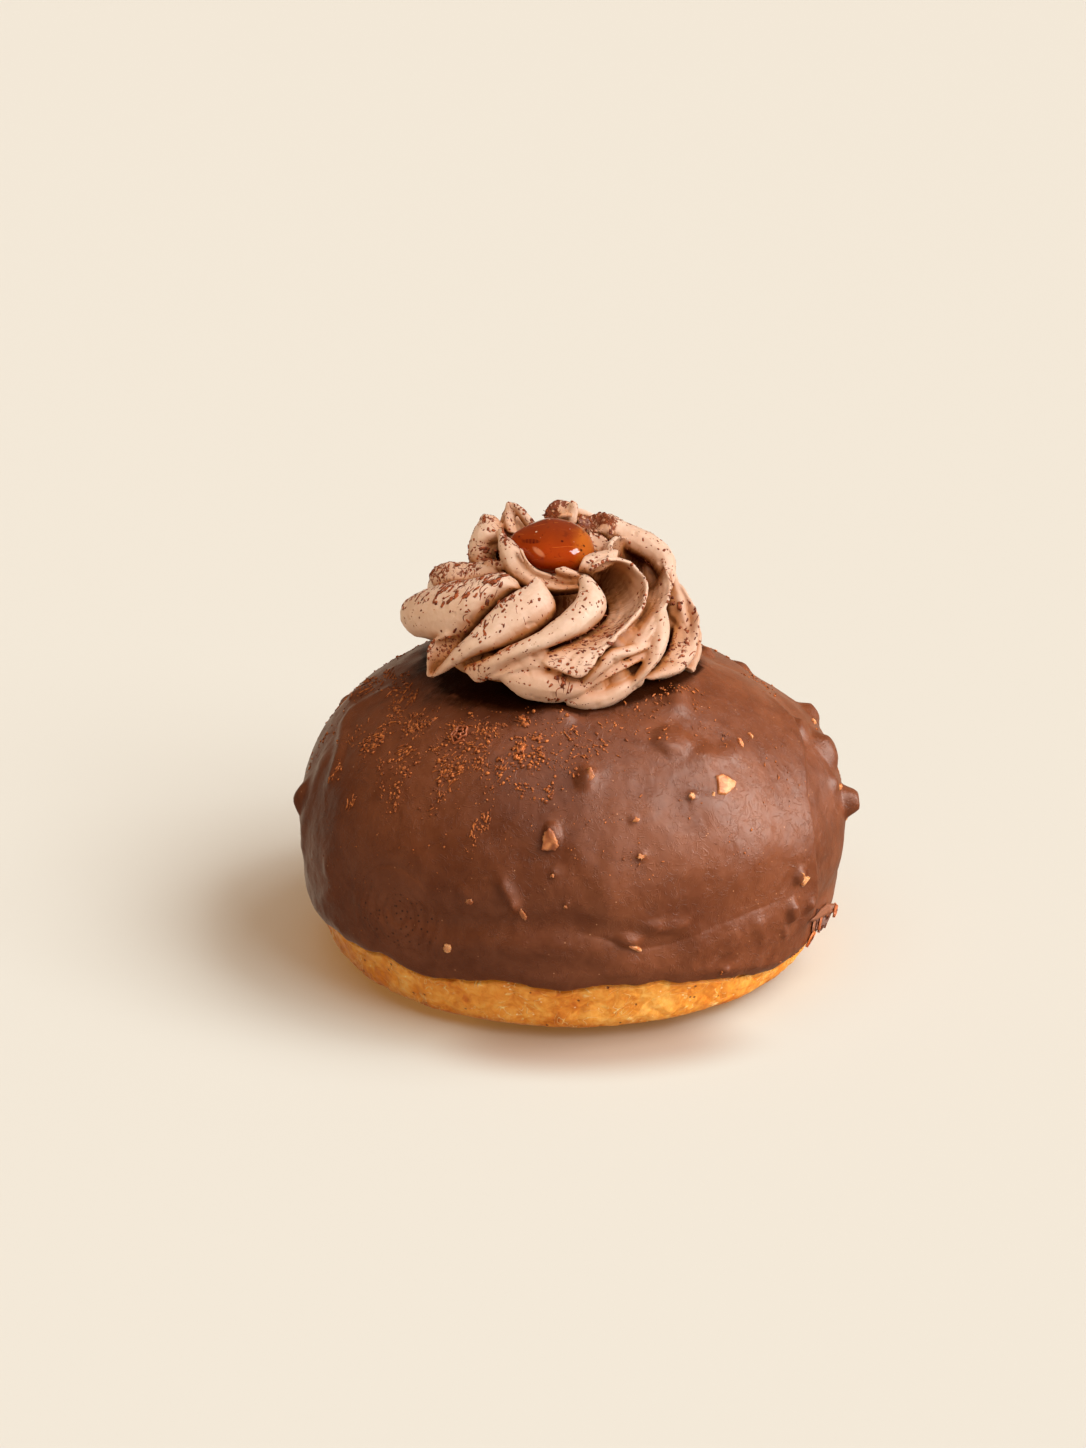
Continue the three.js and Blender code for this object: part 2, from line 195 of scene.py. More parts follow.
class N:
    """Small helper to write node graphs in a line each."""

    def __init__(self, nt):
        self.nt = nt

    def link(self, a, b):
        self.nt.links.new(a, b)

    def new(self, kind, **kw):
        n = self.nt.nodes.new(kind)
        for k, v in kw.items():
            setattr(n, k, v)
        return n

    def put(self, socket, v):
        if hasattr(v, "links") or isinstance(v, bpy.types.NodeSocket):
            self.link(v, socket)
        elif v is not None:
            socket.default_value = v

    def coord(self, scale=1.0, offset=(0, 0, 0), stretch=(1, 1, 1)):
        """Position on the piece in millimetres, from its own coordinates."""
        t = self.new("ShaderNodeTexCoord")
        m = self.new("ShaderNodeMapping")
        m.inputs["Scale"].default_value = [1000 * scale * s for s in stretch]
        m.inputs["Location"].default_value = offset
        self.link(t.outputs["Object"], m.inputs["Vector"])
        return m.outputs[0]

    def noise(self, vec, scale, detail=3, rough=0.5, distort=0.0, out="Fac"):
        n = self.new("ShaderNodeTexNoise")
        self.put(n.inputs["Vector"], vec)
        n.inputs["Scale"].default_value = scale
        n.inputs["Detail"].default_value = detail
        n.inputs["Roughness"].default_value = rough
        n.inputs["Distortion"].default_value = distort
        return n.outputs[out]

    def voronoi(self, vec, scale, feature="F1", rand=1.0, out="Distance"):
        n = self.new("ShaderNodeTexVoronoi", feature=feature)
        self.put(n.inputs["Vector"], vec)
        n.inputs["Scale"].default_value = scale
        n.inputs["Randomness"].default_value = rand
        return n.outputs[out]

    def math(self, op, a, b=None, clamp=False):
        n = self.new("ShaderNodeMath", operation=op, use_clamp=clamp)
        self.put(n.inputs[0], a)
        if b is not None:
            self.put(n.inputs[1], b)
        return n.outputs[0]

    def range(self, v, a, b, c=0.0, d=1.0, soft=True):
        n = self.new("ShaderNodeMapRange", interpolation_type="SMOOTHSTEP" if soft else "LINEAR")
        self.put(n.inputs["Value"], v)
        n.inputs["From Min"].default_value = a
        n.inputs["From Max"].default_value = b
        n.inputs["To Min"].default_value = c
        n.inputs["To Max"].default_value = d
        return n.outputs[0]

    def mix(self, f, a, b, mode="MIX"):
        n = self.new("ShaderNodeMix", data_type="RGBA", blend_type=mode)
        self.put(n.inputs["Factor"], f)
        self.put(n.inputs[6], a if not isinstance(a, tuple) else (*a[:3], 1))
        self.put(n.inputs[7], b if not isinstance(b, tuple) else (*b[:3], 1))
        return n.outputs[2]

    def ramp(self, f, stops, mode="B_SPLINE"):
        n = self.new("ShaderNodeValToRGB")
        r = n.color_ramp
        r.interpolation = mode
        while len(r.elements) < len(stops):
            r.elements.new(0.5)
        for e, (p, c) in zip(r.elements, stops):
            e.position = p
            e.color = (*c[:3], 1)
        self.put(n.inputs[0], f)
        return n.outputs[0]

    def sep(self, v):
        n = self.new("ShaderNodeSeparateXYZ")
        self.put(n.inputs[0], v)
        return n.outputs

    def join(self, x, y, z):
        n = self.new("ShaderNodeCombineXYZ")
        for k, v in enumerate((x, y, z)):
            self.put(n.inputs[k], v)
        return n.outputs[0]

    def attr(self, name):
        n = self.new("ShaderNodeAttribute", attribute_name=name)
        return n.outputs["Fac"]

    def bump(self, height, strength, distance_mm, normal=None):
        n = self.new("ShaderNodeBump")
        n.inputs["Strength"].default_value = strength
        n.inputs["Distance"].default_value = distance_mm * MM
        self.put(n.inputs["Height"], height)
        if normal is not None:
            self.put(n.inputs["Normal"], normal)
        return n.outputs[0]


def srgb(r, g, b):
    f = lambda c: (c / 255) / 12.92 if c / 255 <= 0.04045 else ((c / 255 + 0.055) / 1.055) ** 2.4
    return (f(r), f(g), f(b))


# ------------------------------------------------------------------ doughnut outline
BODY_R, WIDEST_Z, CROWN_H, CROWN_N = 46.0, 24.4, 30.8, 2.06
FOOT_DEPTH, FOOT_N, TOE_ROUND, TOE_H = 28.6, 3.2, 3.4, 3.2
CROWN_Z = WIDEST_Z + CROWN_H
COAT_T = 1.45


def outline(v):
    """r, z on the chocolate's outside: v is -1 at the table, 0 at the widest level and 1 at the crown."""
    v = np.asarray(v, float)
    z_lo = WIDEST_Z * (1 + np.minimum(v, 0))
    r_lo = BODY_R * (1 - np.clip((WIDEST_Z - z_lo) / FOOT_DEPTH, 0, 1) ** FOOT_N) ** (1 / FOOT_N)
    r_lo = r_lo - TOE_ROUND * np.maximum(0, 1 - z_lo / TOE_H) ** 2
    u = np.clip(v, 0, 1) * math.pi / 2
    r_hi = BODY_R * np.maximum(np.cos(u), 0) ** (2 / CROWN_N)
    z_hi = WIDEST_Z + CROWN_H * np.sin(u) ** (2 / CROWN_N)
    return np.where(v <= 0, r_lo, r_hi), np.where(v <= 0, z_lo, z_hi)


def outline_normal(v):
    v = np.asarray(v, float)
    d = 0.002
    r0, z0 = outline(np.maximum(-0.999, v - d))
    r1, z1 = outline(np.minimum(1, v + d))
    n = unit(np.stack([z1 - z0, -(r1 - r0)], -1))
    top = (v > 0.999)[..., None]
    return np.where(top, np.array([0.0, 1.0]), n)


def v_of(z):
    z = np.asarray(z, float)
    up = np.arcsin(np.clip((z - WIDEST_Z) / CROWN_H, 0, 1) ** (CROWN_N / 2)) * 2 / math.pi
    return np.where(z <= WIDEST_Z, z / WIDEST_Z - 1, up)


def body_point(v, a, d=0.0):
    r, z = outline(v)
    n = outline_normal(v)
    r = np.maximum(0, r + n[..., 0] * d)
    return np.stack([r * np.cos(a), r * np.sin(a), z + n[..., 1] * d], -1)


def body_frame(az, z, lift=0.0):
    """Point on the doughnut at azimuth az (degrees) and height z, with its east, up and outward directions."""
    a = az * RAD
    v = float(v_of(z))
    n = outline_normal(v)
    out = np.array([n[0] * math.cos(a), n[0] * math.sin(a), n[1]])
    east = np.array([-math.sin(a), math.cos(a), 0.0])
    return body_point(v, a, lift), east, np.cross(out, east), out


# lower edge of the chocolate: azimuth in degrees, height in mm
EDGE = [(-160, 10.2), (-151, 11.2), (-145, 10.9), (-138, 11.4), (-134, 11.6), (-128, 11.0), (-123, 10.2), (-118, 10.7),
        (-111, 11.5), (-105, 12.1), (-101, 12.0), (-97, 11.4), (-92, 10.9), (-88, 11.5), (-84, 12.0), (-80, 11.8),
        (-76, 11.6), (-72, 11.8), (-67, 10.7), (-62, 10.2), (-51, 8.6), (-41, 6.9), (-30, 7.2), (-18, 8.6), (-5, 9.4),
        (12, 9.0), (24, 10.4), (38, 11.0), (50, 9.7), (63, 10.6), (78, 11.6), (92, 10.2), (104, 9.6), (119, 11.1),
        (134, 11.8), (148, 10.4), (163, 9.4), (178, 10.6), (190, 10.9)]


def edge_z(a):
    deg = np.degrees(a)
    P = np.stack([np.cos(a) * 44, np.sin(a) * 44, np.zeros_like(a)], -1)
    return spline(EDGE, deg, 360) + 0.42 * noise(P, 0.3, 3) + 0.16 * noise(P, 0.9, 4)


# ------------------------------------------------------------------ relief of the chocolate
# Chopped nuts and drips under the chocolate: azimuth, height, half width, half height, how proud, turn in degrees,
# squareness (1 soft, 3 blocky), lean of its top face towards +east and +up
NUTS = [
    (-9, 28.3, 2.1, 2.2, 2.75, 0, 2.2, 0.0, 0.0),
    (-170.5, 28.9, 1.9, 2.6, 1.75, 10, 1.8, 0.0, 0.0),
    (-8.5, 41.3, 2.6, 1.6, 1.1, 20, 2.2, 0.2, 0.3),
    (-7, 36.6, 2.8, 3.0, 1.65, 0, 2.0, 0.0, 0.2),
    (-14, 33.0, 1.6, 1.7, 0.9, 0, 1.6, 0.0, 0.0),
    (-87, 44.0, 1.35, 1.9, 1.55, -25, 1.8, 0.35, -0.2),
    (-94.6, 37.0, 1.25, 1.85, 1.15, 8, 2.2, 0.0, 0.0),
    (-52.4, 40.7, 1.5, 1.4, 0.35, 0, 2.5, 0.0, 0.0),
    (-60.5, 47.0, 3.0, 2.7, 1.25, 15, 2.0, -0.25, -0.1),
    (-54.5, 44.4, 2.6, 2.2, 0.75, 40, 1.4, 0.0, 0.0),
    (-99.5, 50.8, 2.6, 2.0, 1.0, 0, 1.6, 0.0, 0.0),
    (-93, 50.3, 1.6, 1.4, 0.8, 0, 1.6, 0.0, 0.0),
    (-103.4, 28.4, 0.95, 1.9, 0.95, 35, 1.7, 0.0, 0.0),
    (-101.8, 26.0, 0.75, 1.1, 0.9, 30, 1.8, 0.0, 0.0),
    (-111.5, 26.9, 1.9, 1.3, 0.42, -15, 1.8, 0.0, 0.0),
    (-79.3, 20.3, 1.9, 1.1, 1.25, -12, 1.7, 0.2, -0.1),
    (-74.0, 22.2, 1.5, 1.2, 0.85, 0, 1.5, 0.0, 0.0),
    (-69.5, 21.8, 2.2, 1.2, 0.6, 0, 1.4, 0.0, 0.0),
    (-76.0, 33.7, 0.6, 0.55, 0.55, 20, 1.5, 0.0, 0.0),
    (-77.0, 38.6, 0.5, 0.45, 0.5, 0, 1.5, 0.0, 0.0),
    (-62.0, 40.5, 0.7, 0.65, 0.5, 0, 1.5, 0.0, 0.0),
    (-58.5, 39.2, 2.4, 1.8, 0.45, 20, 1.2, 0.0, 0.0),
    (-45.5, 44.2, 3.0, 1.6, 0.55, -10, 1.2, 0.0, 0.0),
    (-38.2, 24.0, 1.0, 1.2, 1.0, -20, 1.9, 0.0, 0.0),
    (-40.0, 18.4, 1.25, 1.9, 1.35, 18, 2.0, 0.0, 0.0),
    (-33.6, 17.7, 0.9, 1.1, 0.9, 0, 1.8, 0.0, 0.0),
    (-41.8, 15.2, 0.8, 1.3, 0.6, 20, 1.6, 0.0, 0.0),
    (-57.6, 11.9, 0.75, 0.7, 0.75, 0, 1.7, 0.0, 0.0),
    (-44.5, 51.0, 2.4, 1.8, 1.0, 30, 1.7, 0.0, 0.0),
    (-50.5, 50.0, 1.6, 1.2, 0.6, 0, 1.5, 0.0, 0.0),
    (21.5, 50.5, 1.8, 1.6, 1.6, 0, 1.6, 0.0, 0.0),
    (-91.5, 26.8, 0.4, 0.4, 0.35, 0, 1.5, 0.0, 0.0),
    (-94.0, 31.6, 0.5, 0.5, 0.4, 0, 1.5, 0.0, 0.0),
    (-48.5, 31.0, 4.5, 2.4, 0.35, 25, 1.0, 0.0, 0.0),
    (-83.0, 29.5, 1.8, 5.0, 0.4, -14, 1.0, 0.0, 0.0),
    (-88.0, 33.0, 1.4, 3.4, 0.32, 18, 1.0, 0.0, 0.0),
    (-138.0, 20.5, 1.6, 1.2, 0.35, 0, 1.3, 0.0, 0.0),
    (-150.0, 23.5, 1.4, 1.8, 0.5, 0, 1.6, 0.0, 0.0),
    # sides and back, which the photo doesn't show
    (14, 37.5, 2.2, 1.8, 1.5, 20, 2.0, 0.1, 0.2),
    (22, 22.0, 1.6, 2.2, 1.3, -10, 2.0, 0.0, 0.0),
    (34, 44.0, 2.6, 1.9, 1.3, 0, 1.8, -0.2, 0.0),
    (43, 31.5, 1.3, 1.2, 1.1, 30, 2.2, 0.2, 0.0),
    (55, 18.5, 2.0, 1.5, 1.0, 0, 1.6, 0.0, 0.0),
    (63, 38.0, 1.7, 2.0, 1.5, -20, 2.1, 0.0, -0.2),
    (76, 27.0, 2.2, 1.6, 1.2, 15, 1.9, 0.0, 0.1),
    (86, 46.0, 1.8, 1.5, 1.0, 0, 1.7, 0.0, 0.0),
    (97, 35.0, 1.4, 1.9, 1.5, 5, 2.1, -0.2, 0.0),
    (108, 21.0, 1.9, 1.5, 1.2, 40, 2.0, 0.0, 0.0),
    (121, 41.5, 2.3, 1.7, 1.2, -15, 1.8, 0.2, 0.1),
    (133, 29.0, 1.5, 1.8, 1.6, 0, 2.2, 0.0, 0.0),
    (147, 17.5, 1.6, 1.3, 0.9, 0, 1.7, 0.0, 0.0),
    (156, 37.0, 1.6, 1.4, 1.0, 25, 1.9, 0.0, -0.2),
    (170, 24.5, 1.2, 1.5, 1.1, -30, 2.0, 0.1, 0.0),
    (178, 44.0, 2.0, 1.5, 0.8, 0, 1.5, 0.0, 0.0),
]
# line where one run of chocolate ends over another, on the right: height in mm, azimuth in degrees
STEP = [(8, -30.5), (14.4, -29.9), (18, -29.5), (23, -30.7), (27.7, -31.7), (35.2, -28.1), (38.2, -23.6), (41.2, -16.0),
        (44, -8.0), (48, 4.0)]
GROOVE = [(-140, 20.5), (-118, 20.3), (-105, 21.6), (-93, 21.9), (-85, 20.9), (-78, 18.6), (-70, 18.8), (-63.5, 20.0),
          (-54.7, 20.9), (-44.4, 21.2), (-34, 21.5)]
FOLDS = [  # soft ridges: points (azimuth, height), half width, how proud
    ([(-170, 47.4), (-173, 43.5), (-170, 41.9), (-161.5, 39.8), (-157, 36.5)], 1.3, 0.55),
    ([(-166, 36.6), (-164.4, 33.5), (-164, 29.7), (-165.4, 26.1), (-167, 22)], 1.9, 0.5),
    ([(-158, 14.5), (-152, 17), (-148, 20)], 1.5, 0.3),
    ([(-66, 15), (-64, 18), (-65, 19.6)], 1.5, 0.28),
    ([(-49, 11), (-48, 15), (-50, 18.5)], 1.2, 0.4),
    ([(-57, 15.5), (-56, 17.5)], 1.6, 0.25),
]


def chocolate_relief(P, A, Z):
    """How far the chocolate's face stands out from the outline at points P on it."""
    deg = np.degrees(A)
    r_xy = np.hypot(P[..., 0], P[..., 1])
    fade = smooth(14, 25, np.where(Z > WIDEST_Z, r_xy, 50))
    d = 0.62 * fbm(P, 0.05, 2, 11) + 0.34 * fbm(P, 0.115, 2, 12) + 0.10 * fbm(P, 0.3, 2, 13)
    # the front is a little fuller low down on the right, as in the photo
    d = d + 0.35 * np.exp(-((deg + 40) / 30) ** 2 - ((Z - 30) / 10) ** 2)
    # a step where one run of chocolate ends, down the right side
    line = spline(STEP, Z)
    s = (deg - line) * RAD * np.maximum(r_xy, 20)
    along = smooth(10, 15, Z) * (1 - smooth(42, 47, Z))
    front = np.exp(-(np.minimum(s, 0) / 5.5) ** 2) * (1 - smooth(-1.3, 0.25, s))
    back = -0.95 * smooth(-0.9, 0.35, s) * (1 - smooth(3, 16, s))
    d = d + along * (0.75 * front + back)
    # the hollow above the lower rim, with a rolled fold below it
    g = spline(GROOVE, np.clip(deg, -140, -34))
    win = smooth(-146, -126, deg) * (1 - smooth(-46, -36, deg))
    q = Z - g
    win = win * (1 - 0.62 * smooth(-88, -66, deg))
    d = d + win * (-0.62 * np.exp(-((q - 1.2) / 2.3) ** 2) + 0.42 * np.exp(-((q + 3.2) / 2.4) ** 2))
    sharp = smooth(-92, -80, deg) * (1 - smooth(-50, -40, deg))
    d = d - win * sharp * 0.30 * np.exp(-(np.abs(q) / 0.45) ** 1.5)
    for pts, width, proud in FOLDS:
        best = None
        for (a0, z0), (a1, z1) in zip(pts[:-1], pts[1:]):
            p0, p1 = body_frame(a0, z0)[0], body_frame(a1, z1)[0]
            e = p1 - p0
            t = np.clip(((P - p0) @ e) / (e @ e), 0, 1)
            dist = np.linalg.norm(P - p0 - t[..., None] * e, axis=-1)
            best = dist if best is None else np.minimum(best, dist)
        d = d + proud * np.exp(-(best / width) ** 2)
    # drawn in where the flake stands, low on the right
    d = d - 0.95 * np.exp(-((deg + 20) / 13) ** 2 - ((Z - 13.6) / 3.6) ** 2)
    d = d * fade
    for k, (az, hz, sx, sy, proud, turn, square, lx, ly) in enumerate(NUTS):
        p0, east, up, out = body_frame(az, hz)
        R = P - p0
        far = (R * R).sum(-1) > (3.2 * max(sx, sy)) ** 2
        m = ~far
        if not m.any():
            continue
        Q = R[m]
        c, s_ = math.cos(turn * RAD), math.sin(turn * RAD)
        x, y = Q @ east, Q @ up
        x, y = x * c + y * s_, -x * s_ + y * c
        wob = 1 + 0.16 * noise(np.stack([x, y, np.full_like(x, k * 3.7)], -1), 0.55, 20)
        x, y = x / sx * wob, y / sy * wob
        p = 2.0 + 0.5 * (square - 1)
        rr = (np.abs(x) ** p + np.abs(y) ** p) ** (1 / p)
        core = 1 - smooth(0.45 if square > 1.8 else 0.1, 1.25 + 0.3 / square, rr)
        skirt = np.exp(-(rr / 1.35) ** 2)
        mix = min(1.0, (square - 1) / 1.2)
        h = proud * (mix * (0.84 * core + 0.16 * skirt) + (1 - mix) * skirt)
        h *= 1 + (lx * x + ly * y) * core
        d[m] = d[m] + h
    return d + shoulder(A, Z)


def shoulder(A, Z):
    """The back of the right shoulder slopes away sooner than the left; dough and chocolate alike."""
    deg = np.degrees(A)
    return -2.6 * np.exp(-((deg - 32) / 34) ** 2) * smooth(36, 46, Z) * (1 - 0.75 * smooth(50, 53.5, Z))


def fine_relief(P, A, Z):
    """Small marks that are in the mesh as well: swirl marks, pinholes and grains."""
    deg = np.degrees(A)
    d = 0.035 * noise(P, 0.9, 31) + 0.02 * noise(P, 1.7, 32)
    patch = np.exp(-(((deg + 128) / 11) ** 4) - ((Z - 20.2) / 5.6) ** 4)
    c = body_frame(-128, 20.5)[0]
    rr = np.linalg.norm(P - c, axis=-1)
    ripple = np.sin(rr * 3.3 + 2.2 * noise(P, 0.3, 33))
    d = d + patch * (0.11 * ripple + 0.10 * noise(P, 0.8, 34))
    ring = np.exp(-((rr - 8.4) / 0.35) ** 2) * smooth(-2, 4, Z - 20.5)
    d = d - 0.16 * ring
    return d


# ------------------------------------------------------------------ dough
def dough_piece():
    cols = 640
    A = np.arange(cols) / cols * 2 * math.pi - math.pi
    E = edge_z(A)
    zs = np.concatenate([np.linspace(0, 3, 18)[:-1], np.linspace(3, 8, 18)[:-1]])
    rows = []

    def skin(Z, inset):
        v = Z / WIDEST_Z - 1
        r, _ = outline(v)
        P = np.stack([r * np.cos(A), r * np.sin(A), Z], -1)
        blister = 0.34 * fbm(P, 0.16, 2, 41) + 0.20 * noise(P, 0.42, 42) + 0.09 * noise(P, 0.95, 43)
        crease = -0.28 * np.exp(-(np.abs(noise(P * np.array([1, 1, 0.55]), 0.24, 44)) / 0.06) ** 1.4)
        crease = crease - 0.12 * np.exp(-(np.abs(noise(P, 0.5, 45)) / 0.07) ** 1.4)
        k = smooth(0.2, 2.6, Z)
        rr = r - inset + (blister + crease) * k + 2.3 * (1 - smooth(1.2, 8.5, Z)) * (0.85 + 0.15 * np.cos(A + 120 * RAD))
        return np.stack([rr * np.cos(A), rr * np.sin(A), Z + 0.25 * noise(P, 0.2, 46) * smooth(0, 2, Z) * 0], -1)

    for rad in (10, 20, 26, 31):
        rows.append(np.stack([rad * np.cos(A), rad * np.sin(A), np.zeros(cols)], -1))
    for z in zs:
        rows.append(skin(np.full(cols, z), 0.72))
    for k in np.linspace(0.04, 1, 14):
        Z = 8 + (E - 0.9 - 8) * k
        rows.append(skin(np.maximum(Z, 6.0 + 0.1 * k), 0.72))
    for k in (0.3, 0.6, 1.0):
        Z = E - 0.9 + 0.9 * k
        rows.append(skin(Z, 0.72 + 1.0 * k))
    for v in (-0.3, 0.0, 0.3, 0.6, 0.85):
        r, z = outline(v)
        P = body_point(np.full(cols, v), A, shoulder(A, np.full(cols, float(z))) - (COAT_T + 0.3))
        rows.append(P)
    P = np.array(rows)
    V = P.reshape(-1, 3)
    n = len(V)
    V = np.concatenate([V, [[0, 0, 0]], [[0, 0, CROWN_Z - COAT_T - 0.3]]])
    faces = [tuple(f) for f in grid_faces(len(rows), cols).tolist()]
    faces += fan(n, range(cols), True)
    faces += fan(n + 1, range((len(rows) - 1) * cols, len(rows) * cols))
    return mesh_object("dough", V, faces)


def dough_material():
    m, nt, b = material("fried_dough")
    n = N(nt)
    c = n.coord()
    z = n.sep(c)[2]
    big = n.noise(c, 0.14, 3, 0.55, 0.6)
    mid = n.noise(c, 0.5, 4, 0.6, 1.2)
    fine = n.noise(c, 2.4, 3, 0.6)
    golden = n.ramp(n.math("ADD", n.math("MULTIPLY", big, 0.55), n.math("MULTIPLY", mid, 0.45)),
                    [(0.30, srgb(186, 84, 8)), (0.43, srgb(222, 127, 24)), (0.55, srgb(243, 161, 54)), (0.68, srgb(253, 196, 104))])
    # darker and redder towards the foot
    foot = n.range(n.math("ADD", z, n.math("MULTIPLY", mid, 2.0)), 0.2, 6.0)
    col = n.mix(foot, srgb(166, 76, 6), golden)
    # pale curls and loops where the crust set round bubbles; burst ones as small holes painted dark as the shade inside
    # them
    curl = n.math("ABSOLUTE", n.math("SINE", n.math("MULTIPLY", n.noise(c, 0.13, 2, 0.5, 1.4), 34.0)))
    curl = n.math("MULTIPLY", n.range(curl, 0.05, 0.32, 1.0, 0.0), n.range(n.noise(n.coord(offset=(9, 3, 5)), 0.32, 1, 0.5), 0.47, 0.60))
    col = n.mix(n.math("MULTIPLY", curl, 0.75), col, srgb(255, 216, 142))
    holes = n.math("SUBTRACT", 1.0, n.range(n.voronoi(c, 0.42, "F1"), 0.06, 0.13))
    holes = n.math("MULTIPLY", holes, n.range(n.noise(c, 0.21, 1, 0.5), 0.44, 0.50))
    col = n.mix(n.math("MULTIPLY", holes, 0.9), col, srgb(112, 46, 8))
    dots = n.math("SUBTRACT", 1.0, n.range(n.voronoi(n.coord(offset=(5, 17, 2)), 0.5, "F1"), 0.05, 0.11))
    col = n.mix(n.math("MULTIPLY", dots, 0.8), col, srgb(255, 228, 176))
    n.put(b.inputs["Base Color"], col)
    n.put(b.inputs["Roughness"], n.range(fine, 0.3, 0.7, 0.42, 0.6))
    b.inputs["IOR"].default_value = 1.45
    b.inputs["Subsurface Weight"].default_value = 0.18
    b.inputs["Subsurface Radius"].default_value = (0.004, 0.0018, 0.0006)
    b.inputs["Subsurface Scale"].default_value = 0.6
    h = n.math("ADD", n.math("MULTIPLY", n.noise(c, 1.1, 4, 0.6, 0.8), 0.7), n.math("MULTIPLY", n.voronoi(c, 1.3, "SMOOTH_F1"), 0.3))
    nrm = n.bump(h, 0.5, 0.30)
    nrm = n.bump(n.math("SUBTRACT", curl, n.math("MULTIPLY", holes, 2.0)), 0.6, 0.22, nrm)
    nrm = n.bump(fine, 0.25, 0.12, nrm)
    n.put(b.inputs["Normal"], nrm)
    return m


# ------------------------------------------------------------------ chocolate coat
def coat_piece():
    front, rest = 400, 180
    cols = front + rest
    A = np.concatenate([np.linspace(-176, -4, front, endpoint=False), np.linspace(-4, 184, rest, endpoint=False)]) * RAD
    E = edge_z(A)
    v_edge = v_of(E + 1.1)
    v_rim = float(v_of(51.5))
    rows_v = [v_edge + (v_rim - v_edge) * s for s in np.linspace(0, 1, 140)]
    rows_v += [np.full(cols, v_rim + (1 - v_rim) * s) for s in np.linspace(0, 0.97, 12)[1:]]
    Vg = np.array(rows_v)
    Ag = np.broadcast_to(A, Vg.shape)
    base = body_point(Vg, Ag)
    Zg = base[..., 2]
    n2 = outline_normal(Vg)
    nrm = np.stack([n2[..., 0] * np.cos(Ag), n2[..., 0] * np.sin(Ag), n2[..., 1]], -1)
    rel = chocolate_relief(base, Ag, Zg) + fine_relief(base, Ag, Zg)
    # the lip: slightly swollen, then rolled under
    up = Zg - E[None, :]
    rel = rel * smooth(0.2, 3.0, up) + 0.30 * np.exp(-((up - 2.2) / 1.6) ** 2)
    outer = base + nrm * rel[..., None]
    lips = []
    zr = lambda Z: outline(Z / WIDEST_Z - 1)[0]
    for dz, dr in ((0.0, -1.25), (-0.02, -0.8), (0.08, -0.35), (0.30, -0.05), (0.62, 0.12)):
        Z = E + dz
        r = zr(Z) + dr
        lips.append(np.stack([r * np.cos(A), r * np.sin(A), Z], -1))
    P = np.concatenate([np.array(lips), outer])
    inner = []
    for v in (0.92, 0.75, 0.55, 0.35, 0.15, -0.05, -0.25):
        inner.append(body_point(np.full(cols, v), A, -COAT_T))
    Z = E + 0.9
    r = zr(Z) - COAT_T
    inner.append(np.stack([r * np.cos(A), r * np.sin(A), Z], -1))
    I = np.array(inner)
    R, RI = len(P), len(I)
    V = np.concatenate([P.reshape(-1, 3), I.reshape(-1, 3)])
    n = len(V)
    top = float(CROWN_Z)
    V = np.concatenate([V, [[0, 0, top]], [[0, 0, CROWN_Z - COAT_T]]])
    faces = [tuple(f) for f in grid_faces(R, cols).tolist()]
    faces += [tuple(f) for f in grid_faces(RI, cols, R * cols).tolist()]
    faces += fan(n, range((R - 1) * cols, R * cols))
    faces += fan(n + 1, range(R * cols, (R + 1) * cols), True)
    last = (R + RI - 1) * cols
    faces += [(last + j, last + (j + 1) % cols, (j + 1) % cols, j) for j in range(cols)]
    o = mesh_object("chocolate", V, faces)
    deg = np.degrees(np.arctan2(V[:, 1], V[:, 0]))
    q = ((deg + 128.5) / 11.5) ** 2 + ((V[:, 2] - 20.0) / 5.4) ** 2
    patch = (1 - smooth(0.55, 1.15, q)) * (np.hypot(V[:, 0], V[:, 1]) > 20)
    a = o.data.attributes.new("pinholes", "FLOAT", "POINT")
    a.data.foreach_set("value", patch.astype(np.float32))
    return o


